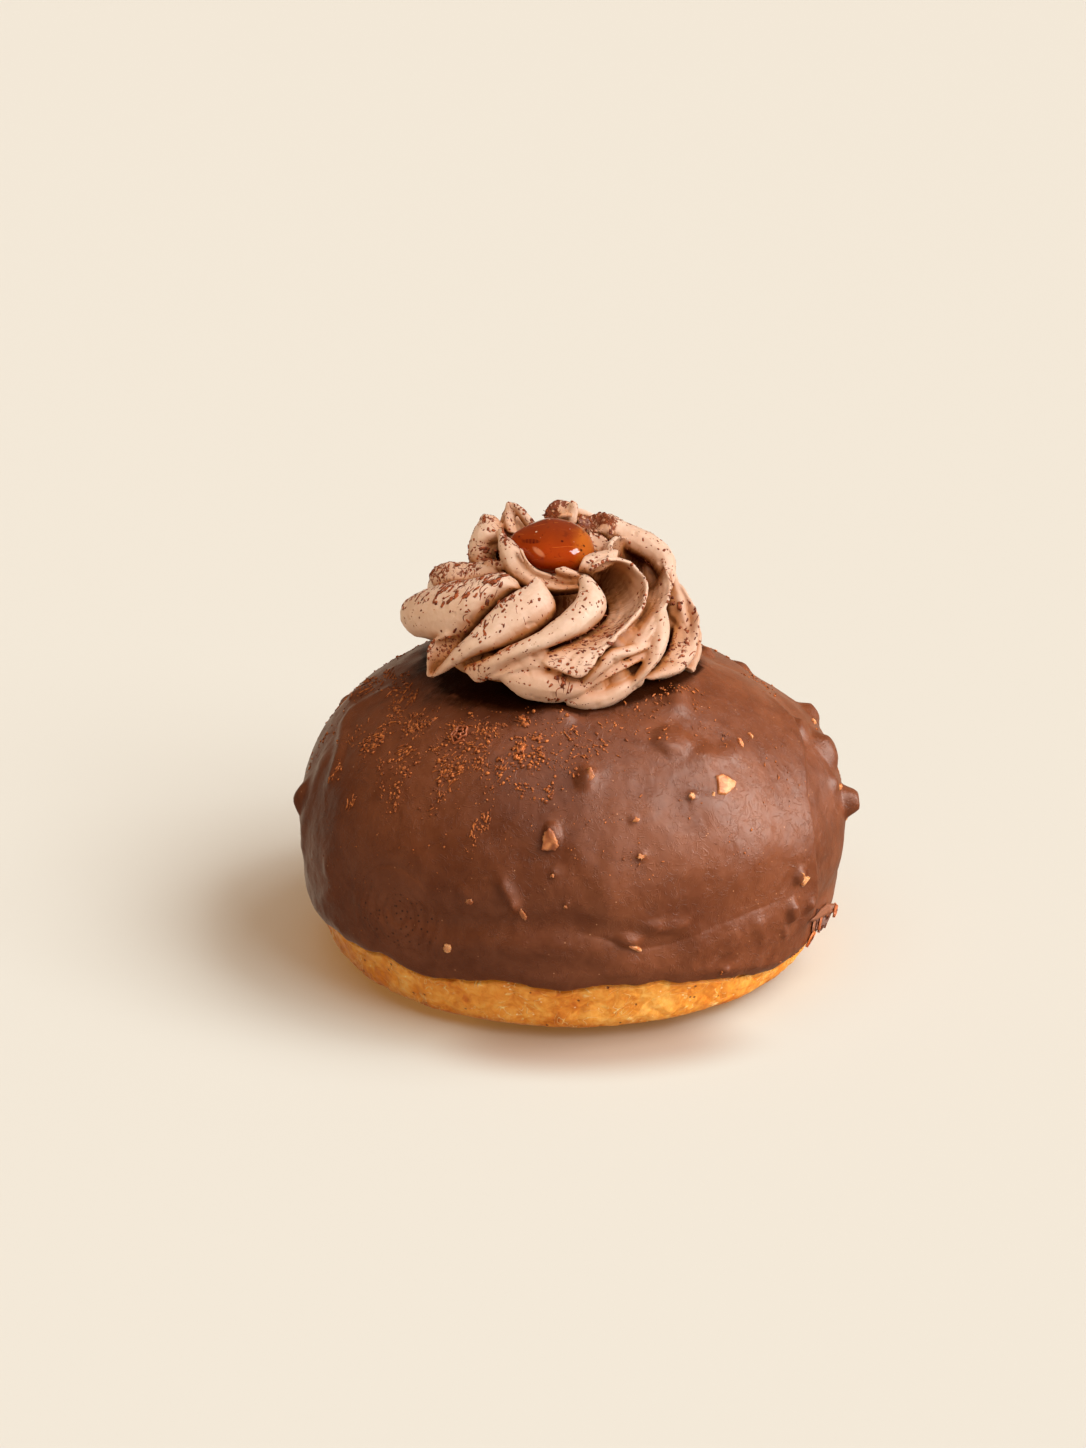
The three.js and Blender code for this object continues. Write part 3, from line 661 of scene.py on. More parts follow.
def chocolate_material():
    m, nt, b = material("milk_chocolate")
    n = N(nt)
    c = n.coord()
    x, y, z = n.sep(c)
    slow = n.noise(c, 0.055, 3, 0.5)
    mid = n.noise(c, 0.3, 4, 0.55, 0.8)
    fine = n.noise(c, 3.0, 3, 0.6)
    col = n.ramp(n.math("ADD", n.math("MULTIPLY", slow, 0.6), n.math("MULTIPLY", mid, 0.4)),
                 [(0.33, srgb(90, 42, 18)), (0.5, srgb(107, 54, 26)), (0.66, srgb(122, 66, 36))])
    # pale dust specks, and pinholes painted dark as the shade inside them
    v = n.voronoi(c, 0.62, "F1")
    speck = n.math("SUBTRACT", 1.0, n.range(v, 0.045, 0.085))
    some = n.range(n.noise(c, 0.31, 1, 0.5), 0.46, 0.54)
    col = n.mix(n.math("MULTIPLY", n.math("MULTIPLY", speck, some), 0.8), col, srgb(196, 136, 98))
    patch = n.attr("pinholes")
    hole = n.math("MULTIPLY", n.math("SUBTRACT", 1.0, n.range(n.voronoi(c, 1.05, "F1"), 0.14, 0.23)), patch)
    col = n.mix(n.math("MULTIPLY", hole, 0.85), col, srgb(44, 18, 8))
    # painted shadow under the swirl: where the swirl hides the sky the coat goes near black and its sheen is dulled
    under = n.range(n.attr("under"), 0.04, 0.42)
    col = n.mix(n.math("MULTIPLY", under, 0.96), col, srgb(30, 8, 1))
    n.put(b.inputs["Base Color"], col)
    n.put(b.inputs["Roughness"], n.range(n.math("ADD", n.math("MULTIPLY", mid, 0.6), n.math("MULTIPLY", fine, 0.4)), 0.3, 0.7, 0.36, 0.48))
    b.inputs["IOR"].default_value = 1.45
    n.put(b.inputs["Specular IOR Level"], n.math("MULTIPLY", n.math("SUBTRACT", 1.0, n.math("MULTIPLY", under, 0.92)), 0.45))
    b.inputs["Subsurface Weight"].default_value = 0.06
    b.inputs["Subsurface Radius"].default_value = (0.0018, 0.0008, 0.0004)
    b.inputs["Subsurface Scale"].default_value = 0.5
    # hairline curls left by smoothing the glaze, faint ripples and grain
    hairs = []
    for k, (scale, turns, off) in enumerate(((0.24, 26.0, (0, 0, 0)), (0.20, 22.0, (31, 7, 3)), (0.30, 24.0, (4, 19, 41)))):
        w = n.noise(n.coord(offset=off), scale, 2, 0.5, 1.6)
        line = n.range(n.math("ABSOLUTE", n.math("SINE", n.math("MULTIPLY", w, turns))), 0.04, 0.34, 1.0, 0.0)
        part = n.range(n.noise(n.coord(offset=(off[1], off[2], off[0])), 0.55, 1, 0.5), 0.50, 0.60)
        hairs.append(n.math("MULTIPLY", line, part))
    hair = n.math("MAXIMUM", n.math("MAXIMUM", hairs[0], hairs[1]), hairs[2])
    nrm = n.bump(n.noise(c, 0.16, 3, 0.5, 0.6), 0.5, 0.55)
    nrm = n.bump(hair, 0.55, 0.07, nrm)
    nrm = n.bump(hole, -0.8, 0.25, nrm)
    nrm = n.bump(fine, 0.12, 0.06, nrm)
    n.put(b.inputs["Normal"], nrm)
    return m


# ------------------------------------------------------------------ piped swirl
SX, SY = -3.5, 0.0
SWIRL_C = np.array([SX, SY, 50.0])  # the ridges stand away from this point
CREAM_VOXEL = 0.22
CREAM_TRIS = 190000
FRONTS = {}  # the face of each fold as a grid of points, with the side it looks to


def cyl(keys):
    k = np.array(keys, float)
    a = k[:, 0] * RAD
    return np.stack([SX + k[:, 1] * np.cos(a), SY + k[:, 1] * np.sin(a), k[:, 2]], -1)


def along_curve(K, n):
    """n points at even spacing on a smooth curve through K, with the share of its length at each."""
    seg = np.linalg.norm(np.diff(K, axis=0), axis=1)
    t = np.concatenate([[0], np.cumsum(np.sqrt(seg))])
    fine = np.linspace(0, t[-1], 400)
    P = np.stack([spline(list(zip(t, K[:, i])), fine) for i in range(3)], -1)
    s = np.concatenate([[0], np.cumsum(np.linalg.norm(np.diff(P, axis=0), axis=1))])
    u = np.linspace(0, s[-1], n)
    return np.stack([np.interp(u, s, P[:, i]) for i in range(3)], -1), u / s[-1], s[-1]


def key(v, t):
    """A size along the ridge: one number, or (t, value) keys."""
    if np.isscalar(v):
        return np.full_like(t, float(v))
    return spline(v, t)


def round_end(t, start, end, tip0, tip1):
    e0 = np.sqrt(np.clip(1 - (1 - np.clip(t / max(start, 1e-3), 0, 1)) ** 2, 0, 1))
    e1 = np.sqrt(np.clip(1 - (1 - np.clip((1 - t) / max(end, 1e-3), 0, 1)) ** 2, 0, 1))
    return (tip0 + (1 - tip0) * e0) * (tip1 + (1 - tip1) * e1)


def lines(k, t, s, scale=0.35):
    return noise(np.stack([s, t * scale, np.full_like(s, k * 4.7)], -1), 1.0, 52)


def sheet(k, a, b, bulge=1.0, back=4.0, edge=0.7, la=2.5, lb=2.5, peak=0.5, start=0.05, end=0.05, tip0=0.8, tip1=0.8,
          along=0.05, across=0.0, cross=0.0, jag=0.06, rough=0.0, ns=44,
          name=None):
    """One fold of cream: the face that shows runs from edge curve a to edge curve b and stands proud by bulge in the
    middle (or is hollow by it). Its body reaches back from that face and both edges are rounded."""
    KA, KB = cyl(a), cyl(b)
    M = (KA + KB) / 2
    seg = np.maximum(np.linalg.norm(np.diff(M, axis=0), axis=1), 0.4)
    u = np.concatenate([[0], np.cumsum(seg)])
    fine = np.linspace(0, u[-1], 500)
    FA = np.stack([spline(list(zip(u, KA[:, i])), fine) for i in range(3)], -1)
    FB = np.stack([spline(list(zip(u, KB[:, i])), fine) for i in range(3)], -1)
    s = np.concatenate([[0], np.cumsum(np.linalg.norm(np.diff((FA + FB) / 2, axis=0), axis=1))])
    n = int(max(24, s[-1] * 2.4))
    w = np.linspace(0, s[-1], n)
    A = np.stack([np.interp(w, s, FA[:, i]) for i in range(3)], -1)
    B = np.stack([np.interp(w, s, FB[:, i]) for i in range(3)], -1)
    t = w / s[-1]
    T = unit(np.gradient((A + B) / 2, axis=0))
    W = B - A
    width = np.linalg.norm(W, axis=1)
    Nn = unit(np.cross(T, W))
    cam_at = np.array([-4.9, -536.3, 245.3])
    if ((Nn * (cam_at - M.mean(0))).sum(-1)).mean() < 0:
        Nn = -Nn
    small = round_end(t, start, end, tip0, tip1)
    bul = key(bulge, t)
    q = (1 - np.cos(np.linspace(0, math.pi, ns))) / 2
    thick = key(back, t)
    P = []
    for i in range(n):
        x = q * width[i]
        qq = q ** (math.log(0.5) / math.log(peak))
        hump = bul[i] * 4 * qq * (1 - qq)
        da, db = x, width[i] - x
        e = min(edge, 0.48 * width[i])
        ra = np.sqrt(np.clip(1 - (1 - np.clip(da / e, 0, 1)) ** 2, 0, 1))
        rb = np.sqrt(np.clip(1 - (1 - np.clip(db / e, 0, 1)) ** 2, 0, 1))
        ro = ra * rb
        grow = smooth(0, la, da) * smooth(0, lb, db)
        g = t[i] * s[-1]
        X = x
        fr = along * (np.sin(X * 4.4 + 2.0 * lines(k, np.full_like(X, g), X * 0.35) + k) * 0.6
                      + 1.4 * lines(k + 9, np.full_like(X, g), X * 1.6, 0.12)) * ro
        fr = fr + cross * np.sin(g * 5.2 + 1.6 * lines(k + 3, X, np.full_like(X, g * 0.5)) + 0.25 * X) * ro
        if across:
            fr = fr + across * (np.sin(g * 6.5 + 2.5 * lines(k + 5, X, np.full_like(X, g * 0.6), 0.2) + 0.3 * X)) * ro
        if rough:
            Q = np.stack([X, np.full_like(X, g), np.full_like(X, k * 2.2)], -1)
            fr = fr + rough * (noise(Q, 0.9, 57) + 0.6 * noise(Q, 1.9, 58)) * ro
        front = hump - e * (1 - ro) + fr
        rear = hump - e * (1 + ro) - (thick[i] * small[i] - 2 * e).clip(0) * grow
        jj = jag * (noise(np.array([g * 1.0, k * 7.3, 0.0]), 0.55, 55) + 0.8 * noise(np.array([g, k * 3.3, 0.0]), 1.4, 56)
                    + 0.5 * noise(np.array([g, k * 1.3, 5.0]), 2.6, 59))
        # jagged at edge a only
        shift = -jj * (1 - smooth(0, 3, da))
        mid = (A[i] + B[i]) / 2
        base = A[i] + (W[i] / width[i]) * (x + shift)[:, None]
        f = base + Nn[i] * front[:, None]
        r = base + Nn[i] * rear[:, None]
        ring = np.concatenate([f, r[::-1][1:-1]])
        P.append(mid + (ring - mid) * small[i])
    P = np.array(P)
    FRONTS[name] = (P[:, :ns], 1.0 if (np.cross(T, W) * Nn).sum() > 0 else -1.0)
    # turned outwards: the rings must run counter-clockwise about the direction of travel
    c = P.mean(1)
    j = n // 2
    area = np.cross(P[j] - c[j], np.roll(P[j], -1, axis=0) - c[j]).sum(0)
    if (area * T[j]).sum() < 0:
        P = P[:, ::-1]
    return tube_mesh(P)


def blade(k, crest, half=2.2, depth=9.0, bend=3.5, lip=0.8, power=2.2, ribs=0.16, ragged=0.2, start=0.10, end=0.16,
          tip0=0.45, tip1=0.35, fat=0.5, ns=64):
    """One ridge of the swirl: a fin that leans over like a breaking wave. Its rim runs along crest, from the middle
    outwards and down. half is half its thickness, depth from rim to root, bend how far the rim leans clockwise over
    the next groove, lip the half thickness at the rim."""
    K = cyl(crest)
    n = int(max(40, 2.2 * np.linalg.norm(np.diff(K, axis=0), axis=1).sum()))
    C, t, length = along_curve(K, n)
    T = unit(np.gradient(C, axis=0))
    O = C - SWIRL_C
    O = unit(O - (O * T).sum(-1, keepdims=True) * T)
    S = unit(np.cross(T, O))
    small = round_end(t, start, end, tip0, tip1)
    H, D, B, L = key(half, t) * small, key(depth, t) * (0.6 + 0.4 * small), key(bend, t) * small, key(lip, t)
    L = np.minimum(L, H * 0.95)
    q = np.concatenate([np.linspace(0, 0.55, ns // 4), 1 - 0.45 * np.linspace(1, 0, ns // 4 + 6)[1:] ** 1.7])
    rag = ragged * noise(np.stack([t * length, np.full_like(t, k * 9.1), np.zeros_like(t)], -1), 0.45, 50)
    rag = rag + 0.6 * ragged * noise(np.stack([t * length, np.full_like(t, k * 5.1), np.zeros_like(t)], -1), 1.3, 51)
    rows = []
    for i in range(n):
        x = -B[i] * (1 - q ** power)
        y = -D[i] * (1 - q)
        m = np.stack([np.full_like(q, D[i]), -B[i] * power * q ** (power - 1)], -1)
        m /= np.linalg.norm(m, axis=-1, keepdims=True)
        w = L[i] + (H[i] - L[i]) * (1 - smooth(fat, 1.0, q))
        w = w * (1 - 0.18 * (1 - smooth(0, 0.4, q)))
        q1 = 1 - L[i] / max(D[i], 1e-3)
        cap = np.sqrt(np.clip(1 - (np.clip((q - q1) / (1 - q1), 0, 1)) ** 2, 0, 1))
        w = w * cap
        s_len = np.cumsum(np.concatenate([[0], np.hypot(np.diff(x), np.diff(y))]))
        g = np.full_like(q, t[i] * length)
        rib_in = ribs * (np.sin(s_len * 3.6 + 4 * lines(k, g, s_len * 0.35) + k) + 0.6 * lines(k + 7, g, s_len * 1.3))
        rib_out = 0.35 * ribs * np.sin(s_len * 1.9 + 4 * lines(k + 2, g, s_len * 0.3))
        keep = smooth(0.0, 0.12, 1 - q) * cap
        back = np.stack([x, y], -1) - m * (w + rib_out * keep)[:, None]  # the smooth back, on the ccw side
        face = np.stack([x, y], -1) + m * (w + rib_in * keep)[:, None]  # the ribbed hollow, on the cw side
        sec = np.concatenate([back, face[::-1][1:]])
        sec[:, 1] += rag[i] * smooth(-3.0, 0, sec[:, 1])
        rows.append(C[i] + sec[:, :1] * S[i] + sec[:, 1:] * O[i])
    P = np.array(rows)[:, ::-1]  # counter-clockwise about the run
    return tube_mesh(P)


def mound():
    """What the ridges stand on: a low dome set into the crown."""
    cols = 72
    A = np.arange(cols) / cols * 2 * math.pi
    keys = [(15.0, 46.0), (17.0, 50.0), (17.6, 53.0), (16.8, 56.0), (14.6, 59.5), (11.6, 62.5), (9.0, 64.6), (6.5, 65.8), (3.5, 66.0), (1.0, 66.0)]
    rows = []
    for r, z in keys:
        rows.append(np.stack([SX + r * np.cos(A), SY + r * np.sin(A), np.full(cols, z)], -1))
    return tube_mesh(np.array(rows))


SHEETS = {
    # each: one edge, the other edge (azimuth, radius, height about the swirl's axis), then its section
    "P2": dict(a=[(-102.1, 13.6, 69.9), (-104.9, 15.4, 69.2), (-108.1, 16.3, 68.8), (-111.6, 17.3, 68.2), 
        (-115.2, 18.4, 67.4), (-118.1, 19.7, 66.2), (-120.3, 20.9, 64.9), (-122.9, 22.1, 63.5), 
        (-125.3, 23.2, 62), (-128, 23.9, 60.7), (-130.7, 24.6, 59.2), (-133.5, 25, 57.6), 
        (-136.9, 25.2, 55.7), (-142.7, 24.6, 53.7)],
        b=[(-97.1, 13.8, 69.7), (-91, 15.2, 68.3), (-88.1, 16.1, 67), (-87.4, 17, 65.7), (-89.8, 18.2, 64.3), 
        (-94.2, 19.1, 63.1), (-99.5, 20.1, 62), (-104.4, 21, 61.1), (-109.5, 21.9, 60.4), 
        (-114.9, 22.7, 59.8), (-120.3, 23.4, 58.9), (-125.8, 24.1, 57.6), (-132.4, 24.5, 55.7), 
        (-141, 24.4, 53.3)],
        bulge=[(0, 0.5), (0.3, 1.9), (0.7, 1.5), (1, 0.4)], back=6, edge=0.7, tip1=0.6, end=0.05),
    "P3": dict(a=[(-71.7, 13.6, 70), (-71.9, 15.2, 69.5), (-73.8, 16.6, 68.6), (-76.6, 17.9, 67.7), (-80.6, 19, 66.9), 
        (-85.1, 20.1, 65.9), (-89.9, 21.2, 64.9), (-93.6, 22, 63.9), (-98.3, 22.8, 62.9), 
        (-103.4, 23.2, 61.9), (-108.4, 23.6, 60.9), (-113.5, 23.9, 59.6), (-119.5, 24, 58.4), 
        (-127.3, 24.1, 56.9)],
        b=[(-64.6, 13.7, 69.9), (-61.2, 15.2, 68.7), (-59.1, 16.3, 67.4), (-58.7, 17.3, 66), 
        (-62.4, 18.7, 64.6), (-68.3, 19.7, 63.4), (-74.9, 20.6, 62.5), (-82.1, 21.3, 61.9), 
        (-89.5, 22.1, 61.1), (-95.5, 22.7, 60.3), (-101.7, 23.3, 59.3), (-108.1, 24, 58), 
        (-112.9, 24.6, 56.3), (-119.7, 24.5, 54.4)],
        bulge=[(0, 0.5), (0.25, 2.0), (0.5, 1.7), (0.8, 1.0), (1, 0.3)], back=6, edge=0.65),
    "P1": dict(a=[(-137, 23.1, 60), (-142.3, 23.6, 59.5), (-144.7, 24.1, 59.1), (-143.9, 24.9, 58.2), 
        (-142.8, 25.3, 57.1), (-142.1, 25.5, 55.8), (-142.1, 25.2, 54.4), (-141.5, 25, 53.4)],
        b=[(-130.3, 20.4, 61), (-132.5, 21, 59.9), (-134.7, 21.5, 58.6), (-136, 22.2, 57.7), 
        (-137.5, 22.7, 56.4), (-139.7, 23.1, 55.1), (-141.3, 23.4, 53.9), (-142.1, 23.8, 52.9)],
        bulge=-0.5, back=4, edge=0.6),
    "L1": dict(a=[(-111.8, 14.6, 68.8), (-118.2, 13.9, 69.7), (-125.4, 13.6, 70.2), (-131.8, 14.2, 69.9), 
        (-137.5, 15.3, 69.3), (-144.3, 16.3, 68.6), (-154, 17.5, 67.7), (-163.1, 19.1, 66.3), 
        (-170.4, 21.1, 64.4), (-177.4, 23.1, 62.2), (-175.3, 24.4, 61.4), (-174.3, 25.1, 60.4)],
        b=[(-109.4, 14.4, 67.8), (-115.6, 15.5, 66.6), (-121.1, 17.1, 65.1), (-125.1, 18.7, 63.4), 
        (-128.3, 20.2, 61.9), (-132.1, 21.3, 60.7), (-138, 22.1, 60), (-145.2, 22.6, 59.5), 
        (-152.6, 23.2, 58.9), (-161.6, 23.9, 58.1), (-168.3, 24.6, 58.1), (-170.9, 25.2, 59.3)],
        bulge=[(0, 1.2), (0.15, 2.4), (0.6, 3.2), (0.9, 2.6), (1, 1.4)], back=9, edge=1.1, cross=0.035, tip1=0.75, end=0.06),
    "L0": dict(a=[(-160.4, 9, 69), (-171.8, 10.5, 68.9), (-177.8, 12.8, 68), (-180, 14.4, 68.1), (-181.7, 16.4, 68.1), 
        (-183.2, 17.9, 67.7), (-184.5, 19.2, 67), (-184.3, 19.8, 65.8)],
        b=[(-137.3, 10.3, 68.1), (-145.8, 11.6, 67.6), (-152.8, 13.1, 66.8), (-158.1, 14.7, 66.1), 
        (-162.4, 16.6, 65.6), (-167.2, 18.1, 64.7), (-172.5, 19.2, 64), (-180, 19.8, 64.4)],
        bulge=[(0, 0.6), (0.5, 1.2), (1, 0.6)], back=7, edge=0.9, rough=0.28),
    "P4": dict(a=[(-59.5, 12.9, 70.5), (-52.4, 12.9, 70.9), (-44.2, 12.8, 71.2), (-37.5, 13.2, 71.1), 
        (-32.5, 14, 70.6), (-29.1, 15, 70), (-27.9, 16.1, 69.2), (-28.7, 17.2, 68.4), (-31.8, 18.3, 67.5), 
        (-36.9, 19.2, 66.6), (-43, 20.2, 65.6), (-49.3, 21.1, 64.7), (-55.3, 21.8, 63.8), 
        (-60.5, 22.6, 62.9), (-65.2, 23.3, 61.8), (-69.3, 24.1, 60.7), (-73.2, 25, 59.4), 
        (-76.3, 25.7, 58.2), (-80.1, 26.1, 56.9)],
        b=[(-61.7, 12.4, 69.3), (-54.7, 11.4, 68.2), (-45.7, 10.4, 66.9), (-37.5, 9.8, 65.6), 
        (-33.3, 9.9, 64.3), (-35.5, 10.6, 63.5), (-41.1, 11.8, 63.2), (-47.3, 13.3, 63.2), 
        (-53.6, 14.9, 63.1), (-59.6, 16.4, 63), (-65.6, 17.7, 62.7), (-70.7, 18.7, 62.4), (-75.5, 19.5, 62), 
        (-79.9, 20.3, 61.7), (-83.3, 21, 61.3), (-86.9, 21.6, 61.1), (-90.3, 22.4, 60.7), (-92.6, 23.3, 60), 
        (-94.4, 24.2, 59.1)],
        bulge=[(0, -0.2), (0.2, -1.2), (0.45, -1.5), (0.75, -0.5), (1, 0.1)], back=3.2, edge=0.44, la=9, lb=3, along=0.11, jag=0.3),
    "P5": dict(a=[(-27.8, 11.4, 71), (-20.5, 10.8, 71.9), (-8.6, 10.7, 72.2), (8.6, 11.6, 71.9), (27.7, 14.6, 70.3), 
        (26.1, 16.1, 69.8), (23.5, 17.4, 68.8), (21.4, 18.4, 67.9), (19.1, 19.2, 66.9), (6.1, 18.9, 67), 
        (-4.6, 19.2, 66.7), (-12.4, 20, 65.9), (-20.7, 20.7, 65.1), (-28.8, 21.3, 64.4), (-35.5, 21.9, 63.6), 
        (-40.9, 22.5, 62.4), (-45.4, 23.2, 61.3), (-48.7, 23.5, 60.3)],
        b=[(-25.4, 10.6, 69.9), (1.3, 10.2, 68), (18.7, 11.9, 66.3), (17.7, 12.9, 65.7), (16.5, 13.7, 65), 
        (15, 14.2, 64.2), (13.5, 14.6, 63.3), (12.2, 14.6, 62.3), (10.7, 14.3, 61.4), (-18.7, 14.2, 62.8), 
        (-31.5, 15.1, 62.9), (-40, 15.8, 62.7), (-47.8, 16.8, 62.3), (-54, 17.7, 61.7), (-59.1, 18.7, 61.1), 
        (-63.7, 19.7, 60.4), (-66.9, 20.6, 59.6), (-69.9, 21.6, 58.9)],
        bulge=[(0, -0.2), (0.25, -1.2), (0.5, -1.4), (0.8, -0.4), (1, 0.1)], back=3.2, edge=0.44, la=9, lb=3, along=0.1, jag=0.22),
    "P6": dict(a=[(-24.1, 19.9, 63.7), (-27.8, 21.3, 62.9), (-31.6, 22.5, 62), (-34.9, 23.5, 60.7), 
        (-38.6, 24.3, 59.6), (-42.1, 24.8, 58.4), (-45.8, 25.1, 57.2), (-49.6, 25.2, 56.1), (-53, 25, 55), 
        (-57, 24.6, 53.7), (-61.2, 24.2, 52.6), (-65.8, 23.7, 51.7)],
        b=[(-27.6, 20.1, 64.1), (-35.5, 21.1, 63.8), (-40, 22.1, 62.9), (-43.3, 23, 61.6), (-46.3, 23.8, 60.3), 
        (-49, 24.3, 59), (-51.8, 24.6, 57.7), (-54.5, 24.6, 56.6), (-57.4, 24.3, 55.2), (-60.9, 23.9, 54), 
        (-65.3, 23.6, 53), (-69.7, 23.3, 52.3)],
        bulge=[(0, 0.3), (0.4, 1.0), (1, 0.4)], back=4, edge=0.7),
    "P7": dict(a=[(8.5, 20.3, 63.9), (5.4, 21.1, 63.4), (2.6, 22, 62.5), (0, 23, 61.4), (-2.4, 23.8, 60.7), 
        (-5.9, 24.4, 59.8), (-9.3, 24.8, 58.4), (-12.7, 25.1, 56.9), (-16.1, 25.3, 55.5), 
        (-19.7, 25.2, 54.5), (-23.8, 24.8, 53.6), (-29.2, 24.6, 53.2), (-33.9, 24.2, 53), 
        (-40.3, 23.9, 53.3), (-46.3, 23.5, 53.5)],
        b=[(8.9, 19.5, 62.2), (7, 19.6, 61), (4.1, 19.6, 59.9), (0, 19.7, 59), (-5.8, 19.9, 58.3), 
        (-12.8, 20.3, 57.7), (-19.6, 20.8, 57.2), (-25.4, 21.5, 56.8), (-30, 22, 56.4), (-33.4, 22.2, 56), 
        (-37.2, 22.3, 55.6), (-41.2, 22.8, 55.4), (-44.9, 23, 55.2), (-48.9, 23.2, 55), (-53.4, 23.7, 54.8)],
        bulge=[(0, -0.6), (0.35, -1.1), (0.6, 0), (0.75, 0.8), (1, 0.5)], back=4.5, edge=0.85, la=9, lb=3, peak=0.4, along=0.07),
    "H": dict(a=[(53.7, 15.5, 72.6), (49.9, 16.1, 72.4), (45.7, 16.8, 71.6), (42.2, 17.9, 70.6), (37.7, 18.8, 70), 
        (32.4, 19.6, 69.5), (27.5, 20.5, 68.8), (23.5, 21.3, 68.1), (18.9, 21.6, 67.1), (14.8, 21.6, 66.1), 
        (9.6, 20.9, 65), (4.3, 20.1, 63.7)],
        b=[(40.8, 10.7, 71.3), (37.5, 11.5, 70.7), (32.3, 12.2, 70.1), (27, 13.2, 69.6), (22.3, 14.5, 69), 
        (18.3, 15.9, 68.3), (15.3, 17, 67.4), (11.4, 17.7, 66.5), (7.9, 18.2, 65.7), (4.6, 18.6, 64.6), 
        (0, 18.8, 63.7), (-4.5, 19, 62.6)],
        bulge=[(0, 0.9), (0.4, 1.6), (1, 1.0)], back=7, edge=1.0),
    "J1": dict(a=[(173, 8.2, 73.6), (187.8, 7.4, 73.1), (203.4, 7, 72.9), (218.2, 7.3, 72.5), (229.4, 7.9, 71.6), 
        (239, 8.9, 70.7), (247, 9.8, 69.9), (255, 10.4, 69.1), (265.2, 10.7, 68.5), (275.4, 11, 67.9), 
        (285.2, 11.4, 67.6), (293.1, 11.7, 67.7)],
        b=[(-176.7, 8.7, 73.8), (-170.4, 9, 72.2), (-161.1, 9.3, 70.9), (-149.3, 9.8, 69.9), (-140, 10.1, 68.7), 
        (-130.2, 10.5, 67.6), (-121.2, 10.5, 66.8), (-110, 11.2, 66.4), (-99.2, 11.7, 66.3), 
        (-88.1, 11.8, 66.3), (-77.3, 12.1, 66.5), (-68.3, 12.5, 66.8)],
        bulge=[(0, 0.6), (0.3, 1.5), (0.7, 1.2), (1, 0.9)], back=5, edge=0.8),
    "J2": dict(a=[(-127.8, 7.8, 72.7), (-118.6, 8.7, 71.6), (-111.2, 9.2, 70.6), (-103.4, 9.5, 69.7), 
        (-93.4, 9.6, 69.3), (-83, 9.9, 68.7), (-73, 10.2, 68.4), (-65.9, 10.5, 68.3)],
        b=[(-128.7, 8.5, 72.1), (-119.5, 9.4, 71.1), (-112.1, 10.1, 70.1), (-103.9, 10.5, 69.2), 
        (-94, 10.6, 68.6), (-83.6, 10.9, 68), (-73.7, 11.3, 67.8), (-67.2, 11.5, 67.8)],
        bulge=0.5, back=3.5, edge=0.55),
    "LIP": dict(a=[(-85.7, 9.6, 70), (-80, 9.7, 70.5), (-73.2, 9.8, 70.3), (-67.5, 10, 69.6), (-64.9, 10.2, 68.5)],
        b=[(-86.8, 10, 69.5), (-82.5, 10.5, 68.9), (-76.6, 10.8, 68.5), (-71.5, 11, 68.3), (-67.2, 11.1, 68)],
        bulge=1.1, back=3, edge=0.6),
    "RF": dict(a=[(-50, 8.5, 71.2), (-39.8, 8.6, 71.5), (-29.1, 9.3, 71.5), (-19.8, 10.4, 71.2), (-15.4, 11.3, 70.6)],
        b=[(-65.7, 10.4, 70), (-58.1, 11.2, 69.7), (-50, 11.7, 70), (-41.1, 12.2, 70.7), (-33.7, 12.6, 70.7)],
        bulge=1.0, back=4, edge=0.7),
    "I4": dict(a=[(152.5, 13, 74.4), (155.7, 13.4, 73.1), (158.8, 13.9, 72), (163.6, 14.1, 71.1), (167.8, 14.2, 69.9), 
        (171.9, 14.1, 68.4), (175.8, 13.7, 67.2)],
        b=[(157.7, 10.5, 74.9), (161.8, 9.6, 74), (167, 8.9, 73), (173.1, 8.4, 71.9), (173.6, 9, 70.5), 
        (180, 10, 69.4), (185.6, 10.2, 67.9)],
        bulge=[(0, 0.6), (0.5, 1.8), (1, 1.0)], back=6, edge=0.8),
    "I4b": dict(a=[(-166.3, 10.6, 69.6), (-158.9, 9.7, 69.6), (-147.8, 9.4, 69.7)],
        b=[(-160.1, 11.8, 68.7), (-150.1, 11, 68.7), (-138.5, 10.6, 68.5)],
        bulge=0.6, back=4, edge=0.7),
    "I3": dict(a=[(125.6, 12.3, 75.3), (128.8, 12.2, 74.2), (132.9, 11.6, 73), (138.4, 10.5, 71.9), (143.3, 9.2, 71)],
        b=[(126.9, 10.6, 75.6), (128.6, 10.2, 74.3), (132.3, 9.5, 73.3), (138.4, 8.3, 72.4), (142.5, 7.4, 71.5)],
        bulge=0.8, back=3, edge=0.7),
    "I3r": dict(a=[(126.1, 11.1, 75.6), (122.2, 10.4, 75.3), (118.2, 9.6, 74.6), (114.5, 8.6, 73.7), (111.2, 7.5, 72.9)],
        b=[(128.6, 10.2, 74.9), (126.9, 9.5, 74.3), (125.8, 8.6, 73.6), (124.4, 7.8, 72.8), (122.3, 6.6, 71.8)],
        bulge=0.5, back=2.6, edge=0.6),
    "I2": dict(a=[(98.8, 10.1, 72.7), (95.6, 10.9, 74), (91.1, 11.3, 75.1), (84.4, 11.6, 75.7), (77.7, 11.6, 75.4), 
        (72.5, 11.5, 75.1), (67.7, 11.3, 74.6)],
        b=[(95.5, 7.5, 72.4), (90.4, 7, 73.3), (84.9, 6.8, 73.9), (78, 7, 74.2), (70.8, 7.4, 74.2), 
        (66.4, 8.2, 74), (63.3, 9, 73.1)],
        bulge=[(0, -0.3), (0.5, -0.8), (1, -0.6)], back=3, edge=0.6, across=0.14, jag=0.3),
    "I2r": dict(a=[(72.5, 11.5, 75.2), (68.1, 11.3, 74.7), (65.9, 10.7, 73.8), (64.9, 9.9, 73), (62.8, 9, 72.3)],
